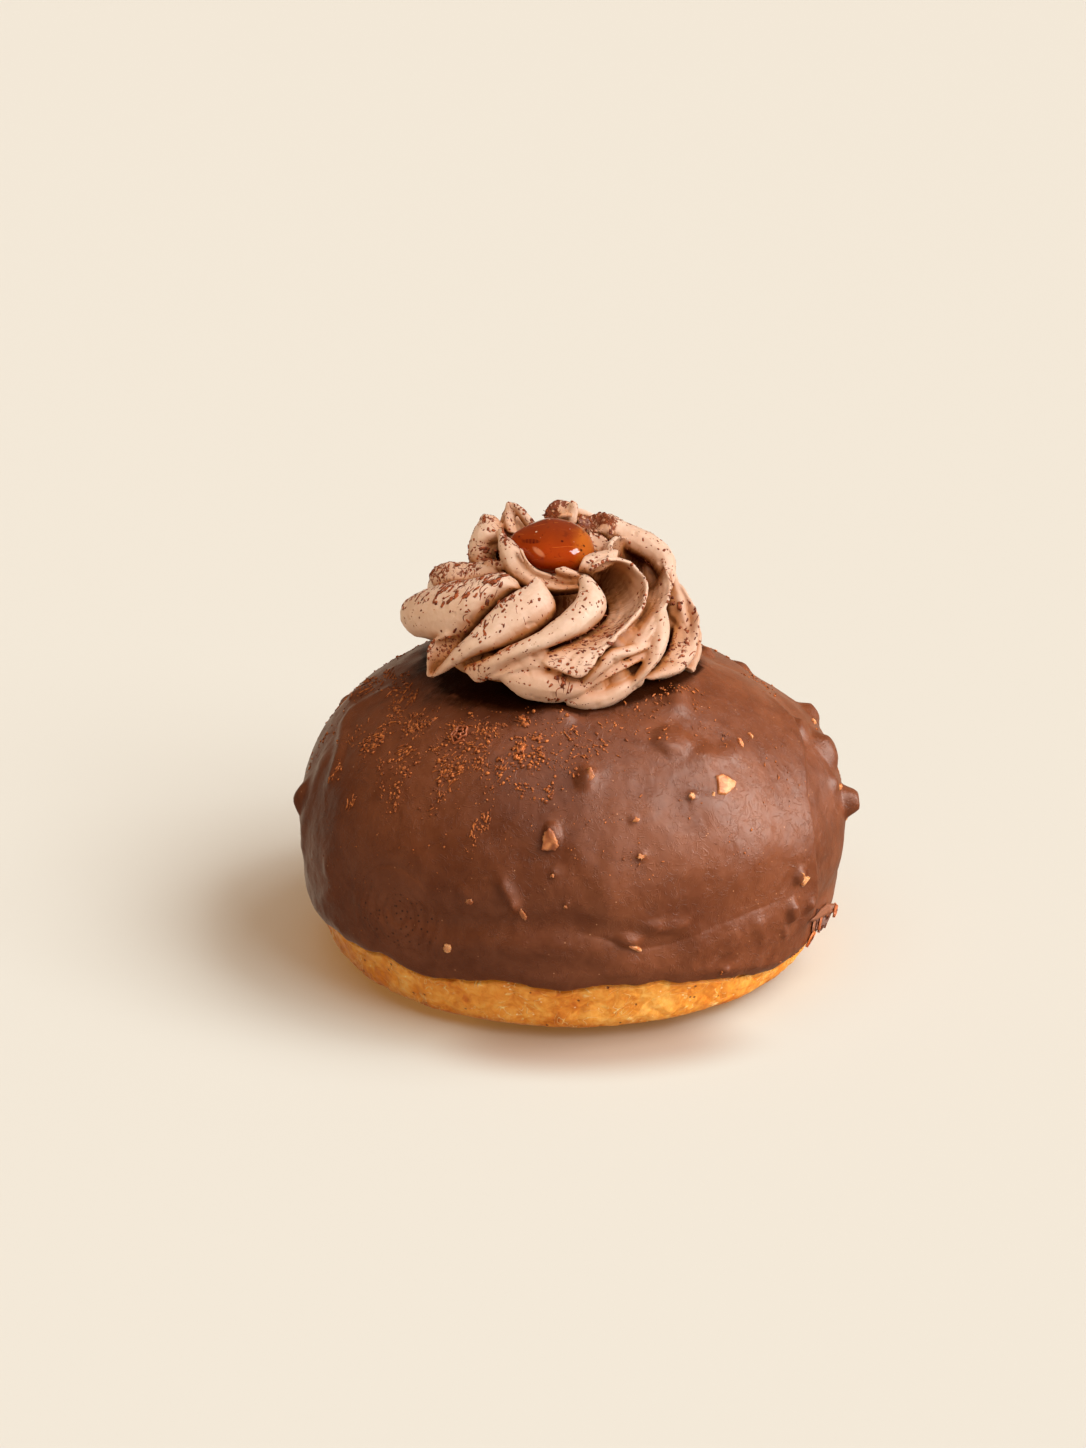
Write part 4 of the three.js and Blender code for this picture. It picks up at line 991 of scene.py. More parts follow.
        b=[(74.1, 10.2, 75), (69, 9.6, 74.6), (66.7, 9.1, 73.9), (65.6, 8.3, 73.1), (64.9, 7.7, 72.2)],
        bulge=0.6, back=2.4, edge=0.6),
    "I1": dict(a=[(65.7, 10.4, 73.5), (61.3, 11.4, 73.5), (57.7, 12.8, 73.2), (53.9, 13.9, 73.4), (50.2, 14.6, 73), 
        (45.5, 14.7, 72.5), (40.4, 14.7, 72)],
        b=[(50.6, 7.8, 72.2), (46.2, 8.3, 72), (41.6, 9, 71.8), (37.7, 9.8, 71.8), (34.4, 10.6, 71.5), 
        (30.3, 10.9, 71), (24.4, 10.9, 70.2)],
        bulge=[(0, -1.0), (0.45, -1.2), (0.6, 0.6), (1, 0.4)], back=6, edge=0.8, rough=0.3),
    "I1b": dict(a=[(37.9, 8.1, 72.3), (31.3, 8.9, 72.1), (24.6, 9.6, 71.8), (18.2, 10.2, 71.2)],
        b=[(-4.3, 6.7, 71.2), (-7.4, 7.7, 70.6), (-9.8, 8.8, 70.3), (-11.7, 9.8, 70.1)],
        bulge=-1.2, back=5, edge=0.8),
    "SL": dict(a=[(-23.5, 19.7, 60.3), (-31.8, 20.8, 59), (-38.1, 21.6, 57.4), (-44, 21.7, 55.6), (-49.6, 21.6, 54.4), 
        (-57, 21.5, 53.3)],
        b=[(-37.3, 18.1, 61.4), (-43.4, 19.8, 59.9), (-47.8, 20.8, 58.5), (-53.8, 21.4, 57.1), 
        (-60.6, 21.8, 56.4), (-66.5, 22, 55.8)],
        bulge=0.2, back=5, edge=0.6),
    "Q1": dict(a=[(-44.6, 22.8, 60.3), (-49.7, 23.2, 60.2), (-54.5, 23.4, 60.1), (-59.3, 23.4, 60.1), 
        (-64, 23.2, 60.3), (-68.1, 23.3, 59.9), (-71.3, 23.6, 59), (-74.7, 23.9, 57.7), (-78.2, 23.8, 56.2)],
        b=[(-44.6, 22.3, 59.1), (-49.4, 22.7, 58.8), (-53.9, 22.8, 58.6), (-57.9, 22.8, 58.4), (-62, 23, 57.9), 
        (-65.8, 23.2, 57.2), (-69.8, 23.3, 56.3), (-73.9, 23.3, 55.4), (-78.7, 23.2, 54.3)],
        bulge=0.7, back=4, edge=0.55),
    "Q2": dict(a=[(-44.6, 22.6, 59.5), (-49, 23.2, 58.9), (-53.3, 23.5, 58.4), (-57.3, 23.6, 58.1), 
        (-61.5, 23.7, 57.6), (-66, 23.8, 56.9), (-70.2, 23.8, 56.1), (-74.5, 23.6, 55.2), 
        (-79.6, 23.4, 54.4), (-85.9, 23.1, 53.9)],
        b=[(-44.6, 22.3, 58.6), (-48.7, 22.8, 57.8), (-53.5, 23.1, 57.2), (-58.2, 23.3, 56.8), 
        (-62.8, 23.3, 56.4), (-67.3, 23.5, 55.9), (-71.9, 23.4, 55.2), (-76.3, 23.3, 54.4), 
        (-81.5, 23.2, 53.7), (-88.3, 23, 52.9)],
        bulge=0.6, back=4, edge=0.55),
    "Q3": dict(a=[(-50.7, 22.5, 55.8), (-55.9, 23.1, 55.6), (-60.8, 23.5, 55.1), (-65.3, 23.6, 54.6), (-70, 23.6, 54), 
        (-74.9, 23.6, 53.8), (-80.4, 23.5, 53.6), (-85.1, 23.2, 52.9)],
        b=[(-51.2, 24.3, 53.8), (-55.6, 24.3, 53), (-59.1, 24.2, 52.2), (-62.9, 24.1, 51.4), (-67, 24, 50.7), 
        (-72.2, 23.9, 50.3), (-78.1, 23.7, 50.4), (-84, 23.6, 51.3)],
        bulge=[(0, 0.6), (0.5, 1.2), (1, 0.7)], back=5, edge=0.7),
    "K": dict(a=[(-73.1, 23.3, 56.9), (-77.4, 23.7, 55.8), (-81.8, 23.9, 56.4), (-86.1, 24, 57.2), 
        (-90.6, 23.9, 57.6), (-95.3, 23.7, 57.9), (-100.1, 23.5, 58), (-105, 23.2, 57.8), (-110.2, 23, 57)],
        b=[(-73.4, 22.7, 53.6), (-78.7, 23.1, 52.9), (-83.2, 23.4, 52.3), (-87.5, 23.7, 51.9), 
        (-92.2, 23.9, 52.1), (-97.1, 24, 52.4), (-102.1, 24.1, 52.9), (-106.4, 24.2, 54.3), 
        (-110.5, 24, 55.6)],
        bulge=[(0, 0.6), (0.5, 1.6), (1, 0.8)], back=6, edge=0.75),
    "K2": dict(a=[(-91.5, 23.1, 58.5), (-95.8, 23.2, 59), (-100.2, 23.2, 59.1), (-104.8, 23.5, 58.7), 
        (-109.1, 23.8, 57.8), (-113.4, 24, 56.5)],
        b=[(-92.6, 23.2, 57.4), (-96.5, 23.4, 57.6), (-100.4, 23.6, 57.4), (-103.7, 24, 56.8), 
        (-108.4, 24.2, 55.9), (-114.8, 24, 55.2)],
        bulge=0.6, back=4, edge=0.6),
}


BLADES = {
    # ridges of the back half: rims (azimuth, radius, height) about the swirl's axis, from the middle outwards and down
    "R1": dict(crest=[(-160, 10.5, 69.0), (-175, 14.5, 68.0), (-188, 18.0, 66.0), (-200, 20.8, 63.6), (-211, 23.2, 60.6), (-220, 24.6, 57.4), (-227, 25.0, 54.6)],
               half=[(0, 1.6), (0.4, 2.8), (0.8, 2.6), (1, 1.6)], bend=2.6, lip=1.1),
    "R2": dict(crest=[(156, 12.0, 73.6), (143, 14.6, 71.8), (130, 17.4, 69.4), (118, 20.2, 66.2), (108, 22.6, 62.4), (99, 24.2, 58.4), (92, 24.8, 55.0)],
               half=[(0, 1.4), (0.4, 2.4), (0.8, 2.4), (1, 1.4)], bend=3.2, lip=0.8),
    "R3": dict(crest=[(128, 11.4, 74.6), (115, 14.2, 72.8), (102, 17.4, 70.0), (90, 20.4, 67.0), (80, 22.8, 63.0), (72, 24.4, 58.8), (65, 25.0, 55.0)],
               half=[(0, 1.4), (0.4, 2.3), (0.8, 2.3), (1, 1.4)], bend=3.2, lip=0.8),
    "R4": dict(crest=[(88, 11.0, 74.6), (76, 13.8, 73.6), (64, 17.0, 71.4), (53, 20.0, 68.4), (43, 22.4, 64.6), (34, 24.2, 60.2), (27, 25.0, 56.0)],
               half=[(0, 1.4), (0.4, 2.4), (0.8, 2.4), (1, 1.4)], bend=3.2, lip=0.8),
    "R5": dict(crest=[(54, 12.6, 72.8), (42, 16.0, 71.6), (30, 19.4, 69.2), (19, 20.6, 66.6), (8, 21.2, 63.6), (-2, 22.2, 60.2), (-10, 23.4, 56.6)],
               half=[(0, 1.6), (0.4, 2.6), (0.8, 2.4), (1, 1.4)], bend=2.0, lip=1.0),
    "R6": dict(crest=[(150, 20.0, 62.4), (136, 22.4, 60.2), (122, 24.0, 57.6), (110, 25.0, 55.0), (100, 25.2, 52.6)],
               half=2.2, bend=2.4, lip=0.9, depth=7),
    "R7": dict(crest=[(76, 20.4, 63.6), (61, 22.6, 61.4), (47, 24.2, 58.4), (35, 25.2, 55.4), (25, 25.4, 52.6)],
               half=2.2, bend=2.4, lip=0.9, depth=7),
    "R8": dict(crest=[(22, 20.6, 62.8), (10, 22.8, 60.2), (-2, 24.4, 57.2), (-12, 25.0, 54.6), (-22, 25.0, 52.4)],
               half=2.0, bend=2.0, lip=0.9, depth=7),
    "R9": dict(crest=[(-196, 20.6, 61.6), (-209, 23.0, 59.0), (-221, 24.8, 56.2), (-233, 25.2, 53.2)],
               half=2.2, bend=2.2, lip=1.0, depth=7),
}


def envelope_r(z):
    """Radius of the smooth cone that the rims lie on."""
    h = np.clip((z - 56.0) / 19.5, 0, 1)
    return np.where(z > 56, 25.2 * (1 - h ** 1.6) ** (1 / 1.6), 25.2)


# How deep each fold's face is, which sets its painted shade (brown with depth), and how dusted: across it from edge a
# to edge b, then the dust as (from, to along it, from, to across it, amount)
DEEP = {
    "P4": [(0, 0.0), (0.2, 0.04), (0.45, 0.6), (1, 1.0)], "P5": [(0, 0.0), (0.2, 0.08), (0.5, 0.75), (1, 1.0)],
    "P7": [(0, 0.0), (0.2, 0.25), (0.5, 0.35), (0.75, 0.1), (1, 0.5)], "P3": [(0, 0.1), (0.2, 0.0), (0.75, 0.05), (1, 0.5)],
    "P2": [(0, 0.2), (0.15, 0.0), (0.75, 0.05), (1, 0.4)], "L1": [(0, 0.15), (0.2, 0.05), (0.75, 0.1), (1, 0.5)],
    "L0": [(0, 0.25), (0.6, 0.3), (1, 0.7)], "P1": [(0, 0.1), (0.5, 0.35), (1, 0.6)], "P6": [(0, 0.1), (0.5, 0.0), (1, 0.5)],
    "H": [(0, 0.0), (0.6, 0.15), (1, 0.7)], "J1": [(0, 0.2), (0.4, 0.0), (0.8, 0.3), (1, 0.7)], "J2": [(0, 0.1), (0.5, 0.3), (1, 0.8)],
    "I4": [(0, 0.0), (0.6, 0.1), (1, 0.7)], "I4b": [(0, 0.3), (1, 0.9)], "I3": [(0, 0.0), (1, 0.6)], "I3r": [(0, 0.0), (1, 0.4)],
    "I2": [(0, 0.2), (0.4, 0.6), (1, 0.8)], "I1": [(0, 0.3), (0.5, 0.7), (1, 0.6)], "I1b": [(0, 0.3), (1, 0.9)],
    "K": [(0, 0.5), (0.25, 0.1), (0.8, 0.0), (1, 0.3)], "K2": [(0, 0.4), (0.5, 0.05), (1, 0.5)], "Q1": [(0, 0.05), (0.6, 0.2), (1, 0.8)],
    "Q2": [(0, 0.05), (0.6, 0.2), (1, 0.8)], "Q3": [(0, 0.3), (0.4, 0.0), (1, 0.1)], "SL": [(0, 0.1), (0.5, 0.2), (1, 0.9)],
}
DEEP_ALONG = {"P4": [(0, 1), (0.36, 1), (0.58, 0.25), (1, 0.15)], "P5": [(0, 1), (0.34, 1), (0.6, 0.35), (1, 0.2)]}
DUST = {
    "I1": [(0.0, 1.0, 0.0, 0.75, 0.75)], "I2": [(0.0, 0.55, 0.0, 1.0, 0.8), (0.4, 1.0, 0.0, 0.4, 0.5)], "L0": [(0.2, 1.0, 0.0, 0.7, 0.5)],
    "L1": [(0.05, 0.9, 0.0, 0.4, 0.38)], "I4": [(0.0, 0.2, 0.0, 1.0, 0.6)], "J1": [(0.0, 0.25, 0.0, 0.6, 0.5)],
    "I3r": [(0.0, 1.0, 0.0, 0.5, 0.5)], "P4": [(0.5, 0.85, 0.2, 0.9, 0.35), (0.78, 1.0, 0.0, 0.9, 0.25)], "P7": [(0.45, 0.72, 0.3, 0.9, 0.3)],
    "P2": [(0.0, 0.5, 0.0, 0.25, 0.3)], "P1": [(0.0, 0.7, 0.0, 0.8, 0.3)], "P3": [(0.9, 1.0, 0.0, 1.0, 0.3)],
}
# small lumps of cream that close the gaps between folds: azimuth, radius, height about the swirl's axis, size
PLUGS = [
    (-100, 21.5, 58.2, 2.6), (-105, 21.8, 57.6, 2.4), (-95, 21.2, 58.8, 2.4), (-110, 21.9, 57.4, 2.2), (-116, 21.6, 57.2, 2.2),
    (-84, 20.5, 57.5, 3.0), (-76, 20.0, 57.0, 3.2), (-68, 19.6, 57.5, 3.2), (-60, 19.2, 58.5, 3.2), (-52, 19.0, 59.0, 3.0),
    (-62, 20.6, 55.5, 3.0), (-72, 20.8, 54.5, 3.0), (-82, 20.8, 54.5, 3.0), (-92, 20.6, 55.5, 3.0), (-102, 20.6, 55.5, 3.0), (-50, 20.4, 56.0, 2.8),
]


def ball(c, r, n=10):
    rows = []
    for i in range(1, n):
        u = math.pi * (i / n - 0.5)
        A = np.arange(2 * n) / n * math.pi
        rows.append(np.stack([c[0] + r * math.cos(u) * np.cos(A), c[1] + r * math.cos(u) * np.sin(A), np.full(2 * n, c[2] + r * math.sin(u))], -1))
    return tube_mesh(np.array(rows))


def paint_folds(me, P):
    """Depth with its painted shade, dust and the along/across position on the nearest fold, kept as attributes for the
    material.
    """
    pts, D, S, U, W = [], [], [], [], []
    for name, (G, facing) in FRONTS.items():
        nt, ns = G.shape[:2]
        step = np.linalg.norm(np.diff(G[:, ns // 2], axis=0), axis=-1)
        along = np.concatenate([[0], np.cumsum(step)])
        across = np.concatenate([[0], np.cumsum(np.linalg.norm(np.diff(G[nt // 2], axis=0), axis=-1))])
        t, s = np.meshgrid(np.linspace(0, 1, nt), across / across[-1], indexing="ij")
        prof = DEEP.get(name, [(0, 0.0), (1, 0.2)])
        deep = np.interp(s, [k[0] for k in prof], [k[1] for k in prof])
        if name in DEEP_ALONG:
            deep = deep * np.interp(t, [k[0] for k in DEEP_ALONG[name]], [k[1] for k in DEEP_ALONG[name]])
        dust = np.zeros_like(s)
        for t0, t1, s0, s1, amount in DUST.get(name, []):
            e = 0.12
            m = smooth(t0 - e, t0 + e, t) * (1 - smooth(t1 - e, t1 + e, t)) * smooth(s0 - e, s0 + e, s) * (1 - smooth(s1 - e, s1 + e, s))
            dust = np.maximum(dust, amount * m)
        pts.append(G.reshape(-1, 3))
        D.append(deep.ravel())
        S.append(dust.ravel())
        U.append(np.broadcast_to(along[:, None], t.shape).ravel() + 31.0 * len(pts))
        W.append(np.broadcast_to(across[None], t.shape).ravel())
    pts, D, S, U, W = map(np.concatenate, (pts, D, S, U, W))
    tree = KDTree(len(pts))
    for i, p in enumerate(pts.tolist()):
        tree.insert(p, i)
    tree.balance()
    out = np.zeros((len(P), 4))
    # painted shade inside the swirl, away from the fold faces, much less on the back half
    inner = smooth(2.0, 6.5, envelope_r(P[:, 2]) - np.hypot(P[:, 0] - SX, P[:, 1] - SY)) * smooth(4.5, 8.0, np.hypot(P[:, 0] - SX, P[:, 1] - SY))
    inner = inner * (1 - 0.85 * smooth(1.0, 8.0, P[:, 1]))
    for i, p in enumerate(P.tolist()):
        _, k, dist = tree.find(p)
        on = float(np.clip((1.3 - dist) / 0.7, 0, 1))
        out[i] = D[k] * on + 0.95 * inner[i] * (1 - on), S[k] * on, U[k], W[k]
    for j, name in enumerate(("deep", "dust", "fold_u", "fold_w")):
        a = me.attributes.new(name, "FLOAT", "POINT")
        a.data.foreach_set("value", out[:, j].astype(np.float32))


def swirl_piece():
    V, F = mound()
    Vs, Fs, base = [V], list(F), len(V)
    parts = [sheet(k + 1, name=name, **kw) for k, (name, kw) in enumerate(SHEETS.items())]
    parts += [blade(k + 40, **kw) for k, kw in enumerate(BLADES.values())]
    parts += [ball(cyl([(a, r, z)])[0], size) for a, r, z, size in PLUGS]
    for V, F in parts:
        Fs += [tuple(i + base for i in f) for f in F]
        Vs.append(V)
        base += len(V)
    o = mesh_object("cream_raw", np.concatenate(Vs), Fs)
    r = o.modifiers.new("r", "REMESH")
    r.mode = "VOXEL"
    r.voxel_size = CREAM_VOXEL * MM
    r.use_smooth_shade = True
    s = o.modifiers.new("s", "SMOOTH")
    s.factor = 0.4
    s.iterations = 1
    dg = bpy.context.evaluated_depsgraph_get()
    me = bpy.data.meshes.new_from_object(o.evaluated_get(dg))
    bpy.data.objects.remove(o)
    P, Nv = points_of(me)
    # small unevenness, nicks and pores
    d = 0.09 * noise(P, 0.35, 71) + 0.05 * noise(P, 0.9, 72) + 0.035 * noise(P, 2.0, 73)
    nick = noise(P, 0.75, 74)
    d = d - 0.16 * smooth(0.42, 0.62, nick)
    P = P + Nv * d[:, None]
    me.vertices.foreach_set("co", (P * MM).ravel())
    me.update()
    c = thin_out("cream", me, CREAM_TRIS)
    me = c.data
    P, Nv = points_of(me)
    shade = openness(P, Nv, [tuple(p.vertices) for p in me.polygons])
    a = me.attributes.new("open", "FLOAT", "POINT")
    a.data.foreach_set("value", shade.astype(np.float32))
    paint_folds(me, P)
    return c


def points_of(me):
    nv = len(me.vertices)
    co, no = np.empty(nv * 3), np.empty(nv * 3)
    me.vertices.foreach_get("co", co)
    me.vertex_normals.foreach_get("vector", no)
    return co.reshape(-1, 3) / MM, no.reshape(-1, 3)


def thin_out(name, me, most):
    """Object with the mesh brought down to at most so many triangles."""
    have = sum(len(p.vertices) - 2 for p in me.polygons)
    o = bpy.data.objects.new(name + "_raw", me)
    scene.collection.objects.link(o)
    if have > most:
        m = o.modifiers.new("d", "DECIMATE")
        m.ratio = most / have
        dg = bpy.context.evaluated_depsgraph_get()
        new = bpy.data.meshes.new_from_object(o.evaluated_get(dg))
    else:
        new = me.copy()
    bpy.data.objects.remove(o)
    new.name = name
    new.polygons.foreach_set("use_smooth", np.ones(len(new.polygons), bool))
    c = bpy.data.objects.new(name, new)
    scene.collection.objects.link(c)
    print(name, "triangles", have, "->", sum(len(p.vertices) - 2 for p in new.polygons))
    return c


def openness(P, Nv, faces, reach=13.0, rays=20):
    """Share of the sky that each point sees past its own piece: 1 in the open, near 0 deep in a fold."""
    tree = BVHTree.FromPolygons(P.tolist(), faces)
    rng = np.random.default_rng(3)
    u = (np.arange(rays) + 0.5) / rays
    ang = np.arange(rays) * 2.39996
    dirs = np.stack([np.sqrt(u) * np.cos(ang), np.sqrt(u) * np.sin(ang), np.sqrt(1 - u)], -1)
    side = unit(np.cross(Nv, np.where(np.abs(Nv[:, 2:]) < 0.9, [[0, 0, 1.0]], [[1.0, 0, 0]])))
    fwd = np.cross(Nv, side)
    turn = rng.random(len(P)) * 2 * math.pi
    out = np.empty(len(P))
    start = P + Nv * 0.15
    cast = tree.ray_cast
    for i in range(len(P)):
        c, s = math.cos(turn[i]), math.sin(turn[i])
        D = (dirs[:, :1] * c - dirs[:, 1:2] * s) * side[i] + (dirs[:, :1] * s + dirs[:, 1:2] * c) * fwd[i] + dirs[:, 2:] * Nv[i]
        o = Vector(start[i])
        hit = 0.0
        for d in D.tolist():
            r = cast(o, d, reach)
            if r[3] is not None:
                hit += 1 - 0.5 * (r[3] / reach)
        out[i] = 1 - hit / rays
    # even out the grain over neighbours
    E = np.array([(f[j], f[(j + 1) % len(f)]) for f in faces for j in range(len(f))])
    for _ in range(5):
        acc, cnt = out.copy(), np.ones(len(P))
        np.add.at(acc, E[:, 0], out[E[:, 1]])
        np.add.at(acc, E[:, 1], out[E[:, 0]])
        np.add.at(cnt, E[:, 0], 1)
        np.add.at(cnt, E[:, 1], 1)
        out = acc / cnt
    return out


def cream_material():
    m, nt, b = material("chocolate_cream")
    n = N(nt)
    c = n.coord()
    slow = n.noise(c, 0.12, 3, 0.5)
    mid = n.noise(c, 0.9, 4, 0.6, 0.5)
    fine = n.noise(c, 5.0, 3, 0.6)
    u, w = n.attr("fold_u"), n.attr("fold_w")
    col = n.ramp(n.math("ADD", n.math("MULTIPLY", slow, 0.6), n.math("MULTIPLY", mid, 0.4)),
                 [(0.35, srgb(203, 165, 139)), (0.5, srgb(212, 177, 153)), (0.65, srgb(220, 189, 167))])
    # fine lines drawn across the folds by the nozzle, stronger in the hollows
    strand = n.noise(n.join(n.math("MULTIPLY", u, 1.7), n.math("MULTIPLY", w, 0.16), 0.0), 1.0, 3, 0.55)
    opened, deep, dust = n.attr("open"), n.attr("deep"), n.attr("dust")
    inward_painted_shade = n.math("MULTIPLY", deep, n.range(strand, 0.34, 0.66, 1.15, 0.78), clamp=True)
    # painted shade: brown where the folds go in, set by their depth and by how little sky they see, and browner on the
    # lower folds
    shut_painted_shade = n.range(opened, 0.97, 0.55, 0.0, 1.0, soft=False)
    low = n.range(n.sep(c)[2], 56.0, 63.0, 0.30, 0.0)
    warm_painted_shade = n.math("MAXIMUM", n.math("MULTIPLY", inward_painted_shade, 0.9), n.math("ADD", shut_painted_shade, low, clamp=True))
    col = n.mix(warm_painted_shade, col, srgb(178, 110, 58))
    # painted deep shade: near black-brown in the deepest hollows and where little sky is seen
    dark = n.math("MULTIPLY", n.range(n.math("ADD", n.math("MULTIPLY", inward_painted_shade, 0.45), n.range(opened, 0.9, 0.2, 0.0, 1.0, soft=False)), 0.42, 1.15), 1.0)
    col = n.mix(dark, col, srgb(60, 19, 2))
    # cocoa that has melted in
    streak = n.noise(n.join(n.math("MULTIPLY", u, 1.5), n.math("MULTIPLY", w, 0.75), 4.0), 1.0, 4, 0.62, 0.6)
    melt = n.math("ADD", streak, n.math("MULTIPLY", dust, 0.36))
    col = n.mix(n.math("MULTIPLY", n.range(melt, 0.665, 0.735), n.range(dust, 0.02, 0.15)), col, srgb(118, 56, 28))
    n.put(b.inputs["Base Color"], col)
    n.put(b.inputs["Roughness"], n.range(mid, 0.3, 0.7, 0.42, 0.56))
    b.inputs["IOR"].default_value = 1.45
    # less sheen in the painted shade
    n.put(b.inputs["Specular IOR Level"], n.math("MULTIPLY", n.math("SUBTRACT", 1.0, n.math("MAXIMUM", dark, inward_painted_shade), clamp=True), 0.6))
    b.inputs["Subsurface Weight"].default_value = 0.12
    b.inputs["Subsurface Radius"].default_value = (0.0020, 0.0010, 0.0006)
    b.inputs["Subsurface Scale"].default_value = 0.5
    nrm = n.bump(n.math("MULTIPLY", strand, n.math("ADD", deep, 0.35)), 0.22, 0.14)
    nrm = n.bump(mid, 0.26, 0.12, nrm)
    nrm = n.bump(fine, 0.2, 0.05, nrm)
    n.put(b.inputs["Normal"], nrm)
    return m


# ------------------------------------------------------------------ drop of gel
GEL_R, GEL_HALF_H = 6.75, 3.7
GEL_AT = (SX + 0.4, -1.2, 71.3)
GEL_TILT, GEL_ROLL = 12, 9


def gel_piece():
    cols, rows = 120, 64
    A = np.arange(cols) / cols * 2 * math.pi
    out = []
    for i in range(1, rows):
        u = math.pi * i / rows - math.pi / 2
        r = math.cos(u) ** 0.92
        x, y = GEL_R * r * np.cos(A), 0.94 * GEL_R * r * np.sin(A)
        z = np.full(cols, GEL_HALF_H * math.sin(u))
        # comes to a blunt point on the left, fuller on the right
        k = 1 - 0.30 * smooth(0.15, 1.0, -x / GEL_R)
        P = np.stack([x * (1 + 0.05 * smooth(0, 1, -x / GEL_R)), y * k, z * k * (1 + 0.06 * smooth(-0.2, 0.9, x / GEL_R))], -1)
        P = P * (1 + 0.035 * noise(P, 0.12, 61)[:, None] + 0.014 * noise(P, 0.35, 62)[:, None])
        out.append(P)
    V, F = tube_mesh(np.array(out))
    a, g = GEL_TILT * RAD, GEL_ROLL * RAD
    V = np.stack([V[:, 0], V[:, 1] * math.cos(a) - V[:, 2] * math.sin(a), V[:, 1] * math.sin(a) + V[:, 2] * math.cos(a)], -1)
    V = np.stack([V[:, 0] * math.cos(g) + V[:, 2] * math.sin(g), V[:, 1], -V[:, 0] * math.sin(g) + V[:, 2] * math.cos(g)], -1)
    return mesh_object("gel", V + np.array(GEL_AT), F)


def gel_material():
    m, nt, b = material("orange_gel")
    n = N(nt)
    c = n.coord(offset=tuple(-v for v in GEL_AT))
    x, y, z = n.sep(c)
    # v runs up the side that is seen from the front; painted light and shade: browner above, redder low on the left,
    # golden on the right where the light comes through
    v = n.math("ADD", n.math("MULTIPLY", z, 0.934), n.math("MULTIPLY", y, 0.357))
    soft = n.noise(c, 0.35, 3, 0.55, 0.8)
    wave = n.math("MULTIPLY", n.math("SUBTRACT", soft, 0.5), 3.0)
    col = n.mix(n.range(n.math("ADD", v, wave), -3.2, 2.6), srgb(184, 66, 8), srgb(142, 50, 6))
    col = n.mix(n.range(n.math("ADD", x, wave), 2.4, 5.6), col, srgb(200, 104, 28))

    def oval(cx, cv, hx, hv, turn):
        dx, dv = n.math("SUBTRACT", x, cx), n.math("SUBTRACT", v, cv)
        c_, s_ = math.cos(turn * RAD), math.sin(turn * RAD)
        p = n.math("DIVIDE", n.math("ADD", n.math("MULTIPLY", dx, c_), n.math("MULTIPLY", dv, s_)), hx)
        q = n.math("DIVIDE", n.math("SUBTRACT", n.math("MULTIPLY", dv, c_), n.math("MULTIPLY", dx, s_)), hv)
        return n.math("ADD", n.math("MULTIPLY", p, p), n.math("MULTIPLY", q, q))

    # streaks: dark ribs in a slot on the left, a painted pale patch of light below it, long thin threads from the point
    ribs = n.math("SINE", n.math("MULTIPLY", x, 11.0))
    slot_ = n.math("MULTIPLY", n.range(oval(-3.7, 0.5, 1.5, 0.42, -4), 0.6, 1.1, 1.0, 0.0), n.range(ribs, -0.6, 0.4, 0.5, 1.0))
    col = n.mix(n.math("MULTIPLY", slot_, 0.8), col, srgb(92, 20, 1))
    col = n.mix(n.range(oval(-2.5, -1.3, 1.35, 0.50, -40), 0.2, 1.2, 0.75, 0.0), col, srgb(232, 150, 104))
    thread = n.math("ABSOLUTE", n.math("SINE", n.math("MULTIPLY", n.math("ADD", v, n.math("MULTIPLY", n.noise(n.join(n.math("MULTIPLY", x, 0.12), n.math("MULTIPLY", v, 0.25), 2.0), 1.0, 2, 0.5), 5.0)), 1.5)))
    thread = n.math("MULTIPLY", n.range(thread, 0.02, 0.09, 1.0, 0.0), n.range(soft, 0.46, 0.56))
    col = n.mix(n.math("MULTIPLY", thread, 0.5), col, srgb(226, 124, 48))
    murk = n.noise(n.join(n.math("MULTIPLY", x, 0.75), n.math("MULTIPLY", v, 0.9), 7.0), 1.0, 3, 0.6, 0.8)
    col = n.mix(n.math("MULTIPLY", n.range(murk, 0.56, 0.70), 0.55), col, srgb(112, 34, 4))
    grit = n.math("SUBTRACT", 1.0, n.range(n.voronoi(c, 0.62, "F1"), 0.10, 0.19))
    some = n.range(n.noise(c, 0.33, 1, 0.5), 0.46, 0.52)
    col = n.mix(n.math("MULTIPLY", n.math("MULTIPLY", grit, some), 0.92), col, srgb(70, 16, 3))
    glint = n.math("SUBTRACT", 1.0, n.range(n.voronoi(n.coord(offset=(13, 5, 8)), 0.55, "F1"), 0.07, 0.12))
    glint = n.math("MULTIPLY", glint, n.range(v, 0.2, 1.0))
    col = n.mix(n.math("MULTIPLY", glint, 0.85), col, srgb(255, 222, 190))
    n.put(b.inputs["Base Color"], col)
    b.inputs["Roughness"].default_value = 0.045
    b.inputs["IOR"].default_value = 1.38
    b.inputs["Subsurface Weight"].default_value = 0.3
    b.inputs["Subsurface Radius"].default_value = (0.004, 0.0012, 0.0003)
    b.inputs["Subsurface Scale"].default_value = 0.6
    w = n.noise(c, 0.4, 2, 0.5, 1.0)
    n.put(b.inputs["Normal"], n.bump(w, 0.10, 0.25))
    return m


# ------------------------------------------------------------------ nut pieces, grated chocolate and cocoa
def tree_of(o):
    me = o.data
    P, _ = points_of(me)
    return BVHTree.FromPolygons(P.tolist(), [tuple(p.vertices) for p in me.polygons])


def land(tree, p, out, reach=9.0):
    """Where the surface lies under point p, looking in along -out: the spot and its normal."""
    h = tree.ray_cast(Vector(p + out * reach), Vector(-out), 2.4 * reach)
    if h[0] is None:
        h = tree.find_nearest(Vector(p))
    n = np.array(h[1])
    return np.array(h[0]), n if n @ out > 0 else out


